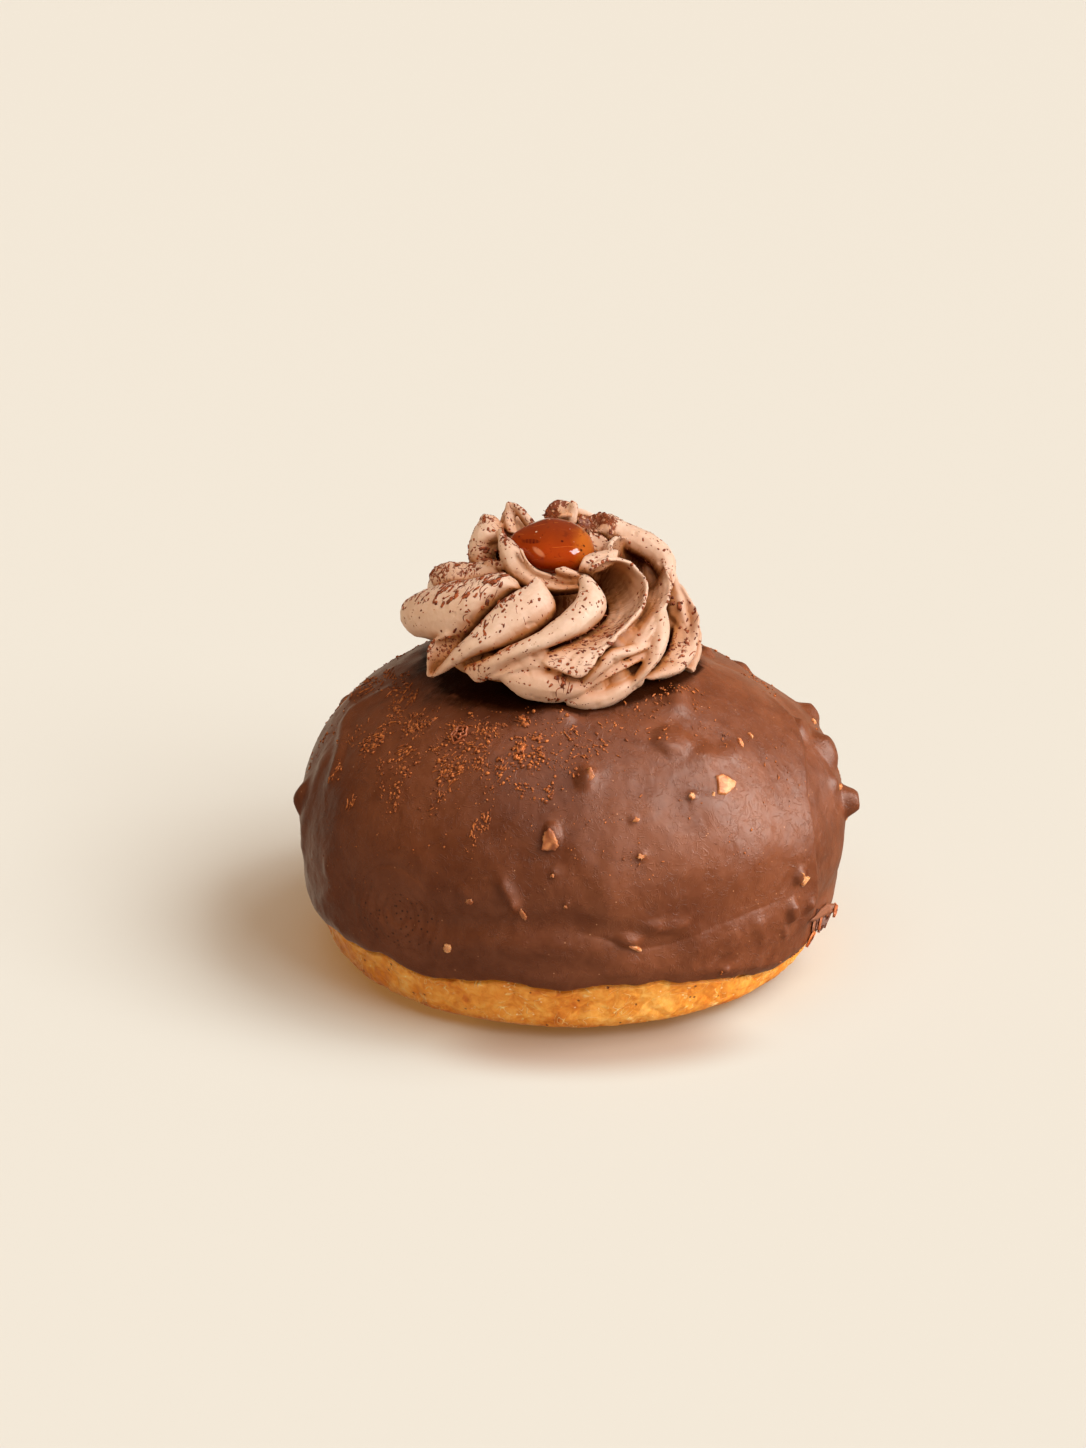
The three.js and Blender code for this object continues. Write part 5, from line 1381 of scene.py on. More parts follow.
def shade_under(o, tree, rays=16, reach=16.0):
    """How much of the sky the swirl hides from each point of the coat, kept as an attribute that paints the coat's
    shade under the swirl.
    """
    P, Nv = points_of(o.data)
    r = np.hypot(P[:, 0] - SX, P[:, 1] - SY)
    near = np.where((r < 40) & (r > 16) & (P[:, 2] > 38) & (Nv[:, 2] > 0))[0]
    u = (np.arange(rays) + 0.5) / rays
    ang = np.arange(rays) * 2.39996
    dirs = np.stack([np.sqrt(u) * np.cos(ang), np.sqrt(u) * np.sin(ang), np.sqrt(1 - u)], -1)
    hid = np.zeros(len(P))
    for i in near:
        n_ = Nv[i]
        a = unit(np.cross(n_, [0.0, 1.0, 0.3]))
        b = np.cross(n_, a)
        D = dirs[:, :1] * a + dirs[:, 1:2] * b + dirs[:, 2:] * n_
        s = Vector(P[i] + n_ * 0.1)
        hid[i] = sum(1 - 0.4 * h[3] / reach for h in (tree.ray_cast(s, d, reach) for d in D.tolist()) if h[3] is not None) / rays
    at = o.data.attributes.new("under", "FLOAT", "POINT")
    at.data.foreach_set("value", hid.astype(np.float32))


PHI = (1 + 5 ** 0.5) / 2
ICO_V = unit(np.array([(-1, PHI, 0), (1, PHI, 0), (-1, -PHI, 0), (1, -PHI, 0), (0, -1, PHI), (0, 1, PHI), (0, -1, -PHI),
                       (0, 1, -PHI), (PHI, 0, -1), (PHI, 0, 1), (-PHI, 0, -1), (-PHI, 0, 1)], float))
ICO_F = [(0, 11, 5), (0, 5, 1), (0, 1, 7), (0, 7, 10), (0, 10, 11), (1, 5, 9), (5, 11, 4), (11, 10, 2), (10, 7, 6), (7, 1, 8),
         (3, 9, 4), (3, 4, 2), (3, 2, 6), (3, 6, 8), (3, 8, 9), (4, 9, 5), (2, 4, 11), (6, 2, 10), (8, 6, 7), (9, 8, 1)]


class Bits:
    """Gathers many small solids into one mesh."""

    def __init__(self, seed):
        self.V, self.F, self.n, self.rng = [], [], 0, np.random.default_rng(seed)

    def add(self, V, F):
        self.V.append(np.asarray(V))
        self.F += [tuple(int(i) + self.n for i in f) for f in F]
        self.n += len(V)

    def crumb(self, p, n, size, along=None, stretch=1.0, flat=0.75):
        r = self.rng
        side = unit(np.cross(n, along if along is not None else r.normal(size=3)))
        run = np.cross(side, n)
        V = ICO_V * (1 + r.uniform(-0.3, 0.3, (12, 1))) * (size / 2)
        V = V * np.array([stretch, 1.0, flat])
        self.add(p + n * size * 0.2 * flat + V[:, :1] * run + V[:, 1:2] * side + V[:, 2:] * n, ICO_F)

    def thread(self, tree, p, n, run, length, width, bend=0.25, lift=0.3, arch=0.0):
        r = self.rng
        side = unit(np.cross(n, run))
        m = 6
        s = np.linspace(-0.5, 0.5, m)
        c = r.normal() * bend
        ring = []
        for i in range(m):
            q = p + run * s[i] * length + side * (c * (s[i] ** 2 * 4 - 0.5) * length * 0.25 + r.normal() * 0.05 * width)
            h, hn = land(tree, q, n, 4.0)
            if np.linalg.norm(h - q) > 1.5:
                h, hn = q, n
            ring.append(h + hn * (width * lift + arch * (1 - 4 * s[i] ** 2)))
        ring = np.array(ring)
        T = unit(np.gradient(ring, axis=0))
        rows = []
        for i in range(m):
            w = width / 2 * (0.75 + 0.5 * r.random()) * (0.55 if i in (0, m - 1) else 1)
            a = unit(np.cross(n, T[i]))
            b = np.cross(T[i], a)
            k = np.arange(5) / 5 * 2 * math.pi
            rows.append(ring[i] + w * (np.cos(k)[:, None] * a + np.sin(k)[:, None] * b))
        V, F = tube_mesh(np.array(rows))
        self.add(V, F)

    def chip(self, p, n, east, outline, proud, sink=0.9, bevel=0.16):
        up = np.cross(n, east)
        O = np.array(outline)
        # close-set points round the outline, then a base, a shoulder and a slightly smaller top
        m = 6
        ring = np.concatenate([O[i] + (O[(i + 1) % len(O)] - O[i]) * np.linspace(0, 1, m, endpoint=False)[:, None] for i in range(len(O))])
        c = ring.mean(0)
        ring = ring + 0.05 * self.rng.normal(size=ring.shape)
        rad = np.linalg.norm(ring - c, axis=1).mean()
        rows = []
        for h, k in ((-sink, 1.08), (0.0, 1.05), (proud - bevel, 1.0), (proud - bevel * 0.3, 1 - 0.3 * bevel / rad), (proud, 1 - 1.0 * bevel / rad), (proud + 0.02, 0.5)):
            q = c + (ring - c) * k
            hh = h + (0.06 * np.sin(q[:, 0] * 2.1 + q[:, 1] * 1.3) if h > 0 else 0)
            rows.append(p + q[:, :1] * east + q[:, 1:] * up + np.multiply.outer(np.broadcast_to(hh, len(q)), n))
        V, F = tube_mesh(np.array(rows))
        self.add(V, F)

    def mesh(self, name, smooth_shade=True):
        return mesh_object(name, np.concatenate(self.V), self.F, smooth_shade)


def scatter_on_coat(bits, tree, table):
    r = bits.rng
    for az, z, sx, sy, crumbs, threads, turn, size, length in table:
        threads = int(threads * 1.7) if az < -100 else threads
        for k in range(crumbs + threads):
            u = r.normal(size=2) * 0.55
            u = u / max(1.0, np.linalg.norm(u) / 1.15)
            p0, east, up, out = body_frame(az, z)
            q = p0 + east * u[0] * sx + up * u[1] * sy
            az2, z2 = math.degrees(math.atan2(q[1], q[0])), min(q[2], 52.0)
            p1, e1, u1, o1 = body_frame(az2, z2)
            h, n = land(tree, p1, o1)
            if math.hypot(h[0] - SX, h[1] - SY) < 24.6:
                continue
            t = (turn + r.normal() * 16) * RAD
            run = unit(e1 * math.cos(t) + u1 * math.sin(t))
            run = unit(run - (run @ n) * n)
            if k < crumbs:
                for _ in range(3 if az < -98 and size > 0.36 else 2):
                    q = h + (run * r.normal() + np.cross(n, run) * r.normal()) * size * 1.5
                    g, gn = land(tree, q, n, 2.0)
                    bits.crumb(g, gn, size * float(np.clip(r.lognormal(-0.52, 0.40), 0.28, 1.2)), run, r.uniform(1.0, 1.7), 0.7)
            else:
                bits.thread(tree, h, n, run, length * r.uniform(0.6, 1.2), r.uniform(0.15, 0.27))


def scatter_on_cream(bits, tree, table):
    r = bits.rng
    for name, t0, t1, s0, s1, dots, dashes, turn, size in table:
        G, facing = FRONTS[name]
        nt, ns = G.shape[:2]
        for k in range(dots + dashes):
            t, s = r.uniform(t0, t1), r.uniform(s0, s1)
            i, j = min(nt - 2, int(t * (nt - 1))), min(ns - 2, int(s * (ns - 1)))
            p = G[i, j]
            along, across = unit(G[i + 1, j] - G[i, j]), unit(G[i, j + 1] - G[i, j])
            n = unit(facing * np.cross(along, across))
            h, hn = land(tree, p, n, 2.2)
            if np.linalg.norm(h - p) > 2.5:
                continue
            a = (turn + r.normal() * 22) * RAD
            run = along * math.cos(a) + across * math.sin(a)
            run = unit(run - (run @ hn) * hn)
            if k < dots:
                bits.crumb(h, hn, size * float(np.clip(r.lognormal(-0.35, 0.45), 0.25, 1.5)), run, r.uniform(1.0, 1.6), 0.24)
            elif r.random() < 0.75:
                bits.crumb(h, hn, size * float(np.clip(r.lognormal(-0.25, 0.3), 0.5, 1.3)), run, r.uniform(1.8, 3.4), 0.16)
            else:
                bits.thread(tree, h, hn, run, size * r.uniform(2.0, 4.5), size * 0.30, bend=0.8, lift=-0.1)


# azimuth, height, half width, half height, crumbs, threads, direction, crumb size, thread length: the back, not in the photo
GRATED_BACK = [(150, 46, 7, 4, 34, 8, 60, 0.5, 1.6), (120, 48, 6, 3, 26, 6, 40, 0.5, 1.4), (90, 47, 7, 3, 22, 5, 110, 0.5, 1.4),
               (62, 49, 5, 3, 20, 4, 60, 0.5, 1.2), (35, 48, 6, 3, 18, 4, 60, 0.45, 1.2), (10, 46, 6, 4, 16, 3, 80, 0.45, 1.0),
               (165, 38, 7, 6, 26, 4, 70, 0.42, 1.1), (100, 38, 14, 8, 30, 3, 40, 0.38, 0.9), (45, 36, 14, 8, 24, 2, 40, 0.36, 0.9),
               (130, 25, 20, 8, 24, 1, 40, 0.3, 0.7), (40, 22, 20, 8, 20, 1, 40, 0.3, 0.7), (0, 30, 8, 8, 14, 1, 40, 0.32, 0.7)]

COCOA = [  # fold, span along it, span across it, dots, dashes, direction across the run, size
    ("L1", 0.10, 0.55, 0.02, 0.55, 34, 70, 62, 0.62), ("L1", 0.5, 0.9, 0.05, 0.5, 26, 30, 60, 0.52), ("L1", 0.05, 0.4, 0.5, 0.9, 16, 12, 60, 0.5),
    ("L1", 0.3, 0.95, 0.5, 0.95, 22, 4, 60, 0.34),
    ("L0", 0.1, 1.0, 0.0, 0.5, 60, 44, 70, 0.5), ("L0", 0.3, 1.0, 0.3, 0.9, 30, 26, 70, 0.5),
    ("I4", 0.0, 0.14, 0.0, 1.0, 34, 0, 0, 0.46), ("I4", 0.1, 0.9, 0.0, 0.25, 18, 6, 0, 0.45), ("I4", 0.1, 1.0, 0.2, 1.0, 30, 4, 20, 0.38),
    ("I4b", 0.0, 1.0, 0.0, 0.6, 14, 10, 0, 0.5), ("I4", 0.72, 1.0, 0.2, 1.0, 16, 10, 90, 0.5),
    ("I3", 0.0, 1.0, 0.0, 1.0, 26, 4, 20, 0.38), ("I3r", 0.0, 1.0, 0.0, 0.7, 26, 6, 10, 0.38),
    ("I2", 0.0, 0.5, 0.0, 0.8, 16, 22, 90, 0.42), ("I2", 0.4, 1.0, 0.0, 0.3, 16, 6, 20, 0.38), ("I2r", 0.0, 1.0, 0.0, 0.5, 8, 0, 0, 0.34),
    ("I1", 0.0, 0.5, 0.0, 1.0, 30, 26, 60, 0.50), ("I1", 0.4, 1.0, 0.0, 0.35, 24, 12, 20, 0.46), ("I1", 0.5, 1.0, 0.3, 1.0, 18, 12, 60, 0.45),
    ("I1b", 0.0, 1.0, 0.0, 0.4, 16, 4, 20, 0.4), ("H", 0.0, 0.3, 0.0, 0.7, 26, 6, 10, 0.42), ("H", 0.2, 1.0, 0.0, 0.9, 30, 2, 10, 0.36),
    ("P5", 0.02, 0.55, 0.04, 0.6, 20, 22, 60, 0.40), ("P5", 0.0, 0.7, 0.0, 0.05, 26, 2, 0, 0.36), ("P5", 0.55, 1.0, 0.05, 0.7, 16, 2, 60, 0.34),
    ("P5", 0.7, 0.8, 0.0, 0.15, 10, 6, 60, 0.45),
    ("P4", 0.0, 0.25, 0.0, 0.14, 20, 4, 0, 0.42), ("P4", 0.25, 0.6, 0.0, 0.06, 20, 2, 0, 0.38), ("P4", 0.1, 0.5, 0.1, 0.5, 10, 8, 70, 0.34),
    ("P4", 0.5, 0.8, 0.25, 0.85, 26, 40, 75, 0.46), ("P4", 0.74, 1.0, 0.1, 0.95, 26, 26, 75, 0.48), ("P4", 0.85, 1.0, 0.0, 1.0, 12, 2, 0, 0.3),
    ("P3", 0.02, 0.28, 0.05, 0.75, 26, 8, 30, 0.44), ("P3", 0.25, 0.8, 0.05, 0.9, 34, 2, 0, 0.28), ("P3", 0.6, 0.98, 0.0, 0.3, 10, 8, 20, 0.44),
    ("P3", 0.86, 1.0, 0.2, 0.9, 12, 6, 20, 0.5),
    ("P2", 0.0, 0.25, 0.0, 0.30, 26, 22, 30, 0.46), ("P2", 0.18, 0.55, 0.02, 0.5, 40, 22, 30, 0.44), ("P2", 0.1, 0.6, 0.4, 0.95, 34, 6, 30, 0.34),
    ("P2", 0.5, 1.0, 0.05, 0.95, 24, 2, 0, 0.36), ("P1", 0.0, 0.7, 0.0, 0.8, 26, 12, 40, 0.46),
    ("J1", 0.0, 0.3, 0.0, 0.5, 40, 18, 10, 0.46), ("J1", 0.2, 0.95, 0.0, 0.9, 26, 4, 10, 0.36), ("J2", 0.0, 1.0, 0.0, 0.8, 16, 2, 10, 0.34),
    ("LIP", 0.0, 1.0, 0.0, 0.9, 10, 0, 10, 0.36), ("RF", 0.0, 1.0, 0.0, 0.9, 26, 6, 10, 0.42),
    ("P6", 0.0, 0.6, 0.0, 0.9, 20, 2, 10, 0.34), ("P7", 0.1, 0.5, 0.1, 0.8, 18, 14, 20, 0.48), ("P7", 0.45, 0.72, 0.25, 0.95, 14, 12, 40, 0.62),
    ("P7", 0.4, 1.0, 0.0, 0.9, 26, 4, 30, 0.36), ("Q1", 0.0, 1.0, 0.0, 0.9, 16, 2, 10, 0.34), ("Q2", 0.0, 1.0, 0.0, 0.9, 14, 2, 10, 0.34),
    ("Q3", 0.0, 1.0, 0.0, 0.9, 16, 4, 10, 0.36), ("K", 0.3, 0.52, 0.2, 0.75, 6, 14, 70, 0.62), ("K", 0.0, 1.0, 0.0, 0.95, 18, 2, 10, 0.34),
    ("K2", 0.0, 1.0, 0.0, 0.9, 10, 4, 10, 0.36),
]


def fine_dust(bits, tree, count=420):
    """Specks hardly wider than a hair, all over the folds that face the viewer."""
    r = bits.rng
    names = [k for k in FRONTS if k not in ("SL",)]
    area = np.array([np.prod(FRONTS[k][0].shape[:2]) for k in names], float)
    for name in r.choice(names, count, p=area / area.sum()):
        G, facing = FRONTS[name]
        i, j = int(r.integers(0, G.shape[0] - 1)), int(r.integers(0, G.shape[1] - 1))
        n = unit(facing * np.cross(G[i + 1, j] - G[i, j], G[i, j + 1] - G[i, j]))
        h, hn = land(tree, G[i, j], n, 2.0)
        if np.linalg.norm(h - G[i, j]) > 2:
            continue
        bits.crumb(h, hn, r.uniform(0.13, 0.24), None, r.uniform(1.0, 1.5), 0.35)


def cocoa_on_back(bits, tree, count=420):
    """The same dust over the half that the photo doesn't show."""
    r = bits.rng
    for _ in range(count):
        a = r.uniform(-15, 185) * RAD
        z = r.uniform(54, 74)
        o = unit(np.array([math.cos(a), math.sin(a), r.uniform(0.2, 1.2)]))
        rr = float(envelope_r(np.array(z)))
        p = np.array([SX + rr * math.cos(a), SY + rr * math.sin(a), z])
        h, n = land(tree, p, o, 8.0)
        if np.linalg.norm(h - p) > 7:
            continue
        if noise(h[None], 0.16, 81)[0] < -0.15:
            continue
        run = unit(np.cross(n, r.normal(size=3)))
        bits.crumb(h, n, r.uniform(0.2, 0.55), run, r.uniform(1.0, 2.4), 0.22)


def grated_material(name, dark, mid, light, rough=0.5):
    m, nt, b = material(name)
    n = N(nt)
    c = n.coord()
    v = n.noise(c, 1.6, 3, 0.6)
    col = n.ramp(v, [(0.36, dark), (0.5, mid), (0.62, light)])
    n.put(b.inputs["Base Color"], col)
    b.inputs["Roughness"].default_value = rough
    b.inputs["Specular IOR Level"].default_value = 0.3
    b.inputs["Subsurface Weight"].default_value = 0.1
    b.inputs["Subsurface Radius"].default_value = (0.001, 0.0005, 0.0002)
    n.put(b.inputs["Normal"], n.bump(n.noise(c, 6.0, 3, 0.6), 0.5, 0.06))
    return m


def nut_material():
    m, nt, b = material("chopped_nut")
    n = N(nt)
    c = n.coord()
    v = n.noise(c, 0.8, 4, 0.6, 0.6)
    col = n.ramp(v, [(0.34, srgb(158, 84, 40)), (0.5, srgb(206, 134, 84)), (0.66, srgb(232, 172, 122))])
    n.put(b.inputs["Base Color"], col)
    b.inputs["Roughness"].default_value = 0.42
    b.inputs["IOR"].default_value = 1.46
    b.inputs["Subsurface Weight"].default_value = 0.35
    b.inputs["Subsurface Radius"].default_value = (0.0022, 0.0010, 0.0004)
    b.inputs["Subsurface Scale"].default_value = 0.6
    n.put(b.inputs["Normal"], n.bump(n.noise(c, 3.0, 3, 0.6), 0.35, 0.08))
    return m


def curl_piece(tree):
    """One rolled shaving, lying on the upper left of the coat with its open end up."""
    p0, east, up, out = body_frame(-125.2, 47.4)
    h, n = land(tree, p0, out)
    e = unit(east - (east @ n) * n)
    u = np.cross(n, e)
    rows = []
    m = 90
    for i in range(m):
        q = i / (m - 1)
        a = (-110 + 800 * q) * RAD
        rad = 0.35 + 1.45 * q + 0.16 * math.sin(5.3 * a)
        c = h + (math.cos(a) * e * 0.92 + math.sin(a) * u * 1.05) * rad + n * (0.42 - 0.30 * q + 0.05 * math.sin(13 * q))
        o = math.cos(a) * e + math.sin(a) * u
        w = 0.13 + 0.05 * math.sin(9 * q + 1)
        rows.append([c + o * (w * math.cos(k * 60 * RAD)) + n * (0.30 * math.sin(k * 60 * RAD)) for k in range(6)])
    return tube_mesh(np.array(rows))


EYE = np.array([-4.886, -536.263, 245.273])
TILT = 69 * RAD


def seen_at(tree, x, y, lift=0.0, beside=1.0):
    """The point of a surface that lies at (x, y) as seen from the front, or the same height beside its limb."""
    for k in range(30):
        d = np.array([x - k - 543, math.cos(TILT) * (724 - y) + math.sin(TILT) * 3418.9, math.sin(TILT) * (724 - y) - math.cos(TILT) * 3418.9])
        h, n, _, _ = tree.ray_cast(Vector(EYE), Vector(unit(d)))
        if h is not None:
            return np.array(h) + np.array(n) * lift + np.array([beside * k / 5.92, 0, 0]), np.array(n)
    raise ValueError("nothing seen there")


def strip(tree, line, wide, lift, thick):
    """A flat strip along a line of (x, y) as seen from the front; wide in mm, or one width for each point."""
    wide = wide if isinstance(wide, (list, tuple)) else [wide] * len(line)
    rows = []
    for i, ((x, y), w) in enumerate(zip(line, wide)):
        x0, y0 = line[max(0, i - 1)]
        x1, y1 = line[min(len(line) - 1, i + 1)]
        t = np.array([x1 - x0, y1 - y0]) / math.hypot(x1 - x0, y1 - y0)
        ring = []
        for s in (-1, -0.33, 0.33, 1):
            p, n = seen_at(tree, x - t[1] * s * w * 2.96, y + t[0] * s * w * 2.96, lift)
            ring.append(p)
        back = np.array([0, 0.934, -0.358]) * thick
        rows.append(ring + [p + back for p in ring[::-1]])
    return tube_mesh(np.array(rows))


def comb_piece(tree):
    """A thin shaving with a comb-like edge that stands out low on the right, with a strip below it."""
    out = []
    out.append((strip(tree, [(823.5, 911), (820.5, 920), (817.0, 929.5)], [2.5, 2.2, 1.1], 0.16, 0.25), 0.22))
    out.append((strip(tree, [(808.5, 920.5), (815, 917.3), (821, 912.4), (827, 908.2), (832.6, 907.5), (834.0, 910.5)], [0.35, 0.75, 1.35, 1.75, 1.5, 0.5], 0.42, 0.30), 0.45))
    out.append((strip(tree, [(831.2, 903.4), (833.4, 905.5), (832.4, 911), (830.8, 916.4)], [0.5, 0.6, 0.6, 0.4], 0.52, 0.45), 0.8))
    out.append((strip(tree, [(826.6, 912), (825.0, 919), (822.4, 927)], [0.50, 0.48, 0.36], 0.36, 0.5), 0.85))
    out.append((strip(tree, [(820.0, 915), (818.6, 922), (816.6, 931.5)], [0.36, 0.36, 0.44], 0.36, 0.5), 0.75))
    out.append((strip(tree, [(813.6, 918.5), (812.4, 925), (811.4, 932)], [0.40, 0.42, 0.5], 0.30, 0.4), 0.55))
    out.append((strip(tree, [(813.4, 931), (810.0, 937.5), (805.2, 946)], [0.5, 0.62, 0.42], 0.28, 0.5), 0.95))
    return out


def shavings_mesh(name, parts):
    V, F, T, n = [], [], [], 0
    for (v, f), tone in parts:
        V.append(np.asarray(v))
        F += [tuple(i + n for i in q) for q in f]
        T += [tone] * len(v)
        n += len(v)
    o = mesh_object(name, np.concatenate(V), F)
    at = o.data.attributes.new("tone", "FLOAT", "POINT")
    at.data.foreach_set("value", np.array(T, np.float32))
    return o


def shaving_material():
    m, nt, b = material("shaving")
    n = N(nt)
    c = n.coord()
    tone = n.math("ADD", n.attr("tone"), n.math("MULTIPLY", n.math("SUBTRACT", n.noise(c, 1.4, 3, 0.6), 0.5), 0.35))
    col = n.ramp(tone, [(0.05, srgb(58, 14, 3)), (0.35, srgb(112, 60, 36)), (0.55, srgb(142, 90, 64)), (0.75, srgb(160, 78, 38)), (1.0, srgb(206, 112, 50))])
    n.put(b.inputs["Base Color"], col)
    b.inputs["Roughness"].default_value = 0.45
    b.inputs["IOR"].default_value = 1.45
    n.put(b.inputs["Normal"], n.bump(n.noise(c, 4.0, 3, 0.6), 0.3, 0.06))
    return m


def tip_material():
    m, nt, b = material("nut_tip")
    n = N(nt)
    c = n.coord()
    col = n.ramp(n.noise(c, 0.7, 3, 0.5, 0.5), [(0.36, srgb(134, 72, 42)), (0.52, srgb(170, 102, 60)), (0.66, srgb(196, 128, 80))])
    n.put(b.inputs["Base Color"], col)
    b.inputs["Roughness"].default_value = 0.34
    b.inputs["IOR"].default_value = 1.46
    b.inputs["Subsurface Weight"].default_value = 0.2
    b.inputs["Subsurface Radius"].default_value = (0.0018, 0.0008, 0.0003)
    b.inputs["Subsurface Scale"].default_value = 0.5
    return m


FLAKES = [  # as seen from the front: centre (x, y), turn in degrees, outline in mm, how proud
    (522.5, 722.5, -38, [(-1.35, 0.35), (-0.9, 0.62), (-0.1, 0.22), (0.7, 0.42), (1.3, 0.55), (1.25, -0.35), (0.5, -0.5), (-0.3, -0.18), (-1.1, -0.2)], 0.28),
    (535.8, 739, -8, [(-0.75, 0.42), (-0.3, 0.2), (0.3, 0.26), (0.72, 0.38), (0.74, -0.38), (0.1, -0.25), (-0.62, -0.4)], 0.3),
    (521, 749.5, 40, [(-1.0, -0.5), (-0.6, 0.45), (0.1, 0.5), (1.1, 0.22), (0.4, -0.2), (-0.2, -0.6)], 0.45),
    (541, 755, -30, [(-0.95, 0.2), (-0.2, 0.42), (0.8, 0.1), (0.95, -0.3), (-0.1, -0.35)], 0.3),
    (515.5, 757.5, 10, [(-0.42, 0.3), (0.35, 0.36), (0.2, -0.4), (-0.3, -0.25)], 0.4),
    (499.5, 759.5, 5, [(-0.5, -0.5), (-0.42, 0.42), (0.4, 0.45), (0.5, -0.3), (0.18, -0.1), (-0.1, -0.25)], 0.32),
    (567, 715.5, 20, [(-0.35, 0.2), (0.3, 0.25), (0.35, -0.25), (-0.3, -0.2)], 0.3)]

GRATED = [  # azimuth, height, half width, half height, crumbs, threads, direction, crumb size, thread length
    (178.2, 47.7, 3.3, 2.7, 10, 9, 170, 0.42, 2.4), (-161.1, 49, 4.1, 3.6, 12, 13, 141, 0.45, 2.7),
    (-166.9, 48.4, 4.3, 1.2, 16, 2, 46, 0.5, 1.2), (179.6, 45.1, 6.1, 2.4, 14, 8, 105, 0.45, 2),
    (-161.9, 42, 2.1, 4.5, 8, 3, 137, 0.4, 1.4), (-142.2, 47.1, 2.2, 3.4, 34, 12, 111, 0.5, 1.6),
    (-155.1, 47, 2.1, 1.5, 13, 2, 54, 0.55, 1.2), (-151.3, 43.7, 2.2, 3.7, 26, 6, 65, 0.48, 1.2),
    (-152.7, 42.3, 2.6, 1.2, 8, 6, 54, 0.5, 1.2), (-138.4, 43.8, 2.9, 1.5, 5, 7, 51, 0.5, 2),
    (-136.1, 42, 3, 2.3, 14, 1, 66, 0.6, 1), (-141, 41, 3.1, 2.8, 9, 1, 94, 0.45, 1),
    (-134.6, 39.2, 2.9, 2.5, 12, 2, 99, 0.5, 1), (-155.7, 37.8, 1.5, 2.3, 4, 4, 101, 0.4, 1.6),
    (-145.7, 35.6, 0.8, 1.8, 2, 3, 104, 0.38, 1.8), (-127.1, 47.4, 2.7, 3.1, 30, 5, -13, 0.5, 1.1),
    (-117.3, 48.2, 2.9, 1.3, 16, 9, 107, 0.58, 1), (-117.7, 46.5, 2, 1, 6, 4, 17, 0.6, 1.6),
    (-130.1, 45.3, 1.7, 0.6, 9, 3, 17, 0.5, 1), (-122.5, 43.5, 2.3, 2.4, 34, 17, 48, 0.55, 1.3),
    (-120.6, 45.8, 3.4, 3.2, 12, 2, 50, 0.55, 1), (-114.6, 44.8, 1, 2.7, 9, 3, 92, 0.6, 1.1),
    (-109.1, 44.2, 1.3, 1.5, 12, 4, 56, 0.6, 1), (-105.6, 46.8, 1.1, 1.8, 14, 4, 77, 0.6, 1.1),
    (-107.4, 49.7, 1, 1.1, 5, 3, -32, 0.6, 2), (-101.6, 48.1, 1, 0.8, 6, 3, 4, 0.6, 1.1),
    (-99.3, 46.8, 1.4, 1.6, 12, 4, 29, 0.5, 1.2), (-102.7, 45.3, 1.9, 0.9, 8, 2, 29, 0.6, 1),
    (-96.2, 42.2, 0.8, 0.9, 9, 3, 46, 0.6, 0.9), (-102.5, 42.4, 1, 0.5, 4, 2, -16, 0.6, 1),
    (-109.5, 41.9, 0.3, 0.9, 3, 0, 94, 0.6, 1), (-122.3, 40, 0.5, 0.9, 6, 2, 91, 0.5, 0.9),
    (-122.8, 38.1, 0.7, 0.3, 2, 1, 12, 0.6, 1.2), (-109.5, 38.2, 0.7, 1, 6, 4, 92, 0.42, 1.2),
    (-111.7, 36.4, 0.8, 2.2, 9, 5, 81, 0.4, 1.2), (-111.6, 33.7, 0.5, 0.9, 4, 0, 89, 0.35, 0.8),
    (-132.7, 37.3, 0.6, 0.7, 2, 1, 105, 0.6, 0.9), (-137.9, 50.2, 5.6, 3.3, 10, 2, 74, 0.3, 0.8),
    (-116.6, 50, 5, 2.8, 10, 3, 56, 0.35, 0.9), (-94.5, 49.3, 2.9, 2.2, 12, 4, 30, 0.45, 1.1),
    (-89.9, 48.9, 1.3, 1.3, 3, 3, -44, 0.5, 1.6), (-82.1, 47.9, 4, 3.3, 16, 7, -41, 0.45, 1.1),
    (-91.1, 46.9, 2.2, 2.4, 14, 4, 35, 0.5, 1), (-93.6, 45, 2.2, 2.6, 10, 2, 75, 0.42, 0.9),
    (-75, 49, 1.9, 2.2, 8, 4, 54, 0.42, 1.1), (-65.8, 50.1, 2.7, 2.8, 9, 4, 53, 0.4, 1),
    (-55.3, 51.1, 1.7, 2.6, 16, 5, 49, 0.45, 1), (-46.5, 51.6, 1.3, 1.7, 9, 2, -103, 0.5, 1.2),
    (-42.5, 50.3, 2.6, 3.3, 10, 3, -88, 0.45, 1), (-66.1, 48.1, 3, 2.1, 8, 3, 38, 0.4, 1),
    (-49.3, 47.5, 3.7, 3.7, 8, 2, 24, 0.35, 0.8), (-42, 44.8, 2.8, 2.6, 6, 2, 24, 0.35, 0.9),
    (-121.3, 34.1, 11.2, 6.4, 22, 1, 48, 0.28, 0.7), (-97.3, 37.6, 9.5, 6.4, 18, 1, 44, 0.28, 0.7),
    (-75.4, 38.6, 9.7, 8.1, 18, 2, 33, 0.3, 0.8), (-53.3, 33.3, 10.1, 8, 12, 1, 20, 0.3, 0.7),
    (-76.7, 31.6, 4.9, 2.2, 8, 1, 14, 0.35, 0.7), (-32.1, 38.2, 6.5, 5.9, 12, 3, 25, 0.35, 0.9),
    (-174.2, 38.2, 3, 10.9, 22, 2, 113, 0.34, 0.8), (169.7, 41.1, 4.3, 4.3, 16, 4, 151, 0.36, 1.2),
    (-141.8, 23.3, 12.2, 7, 14, 0, 41, 0.28, 0.7),

]

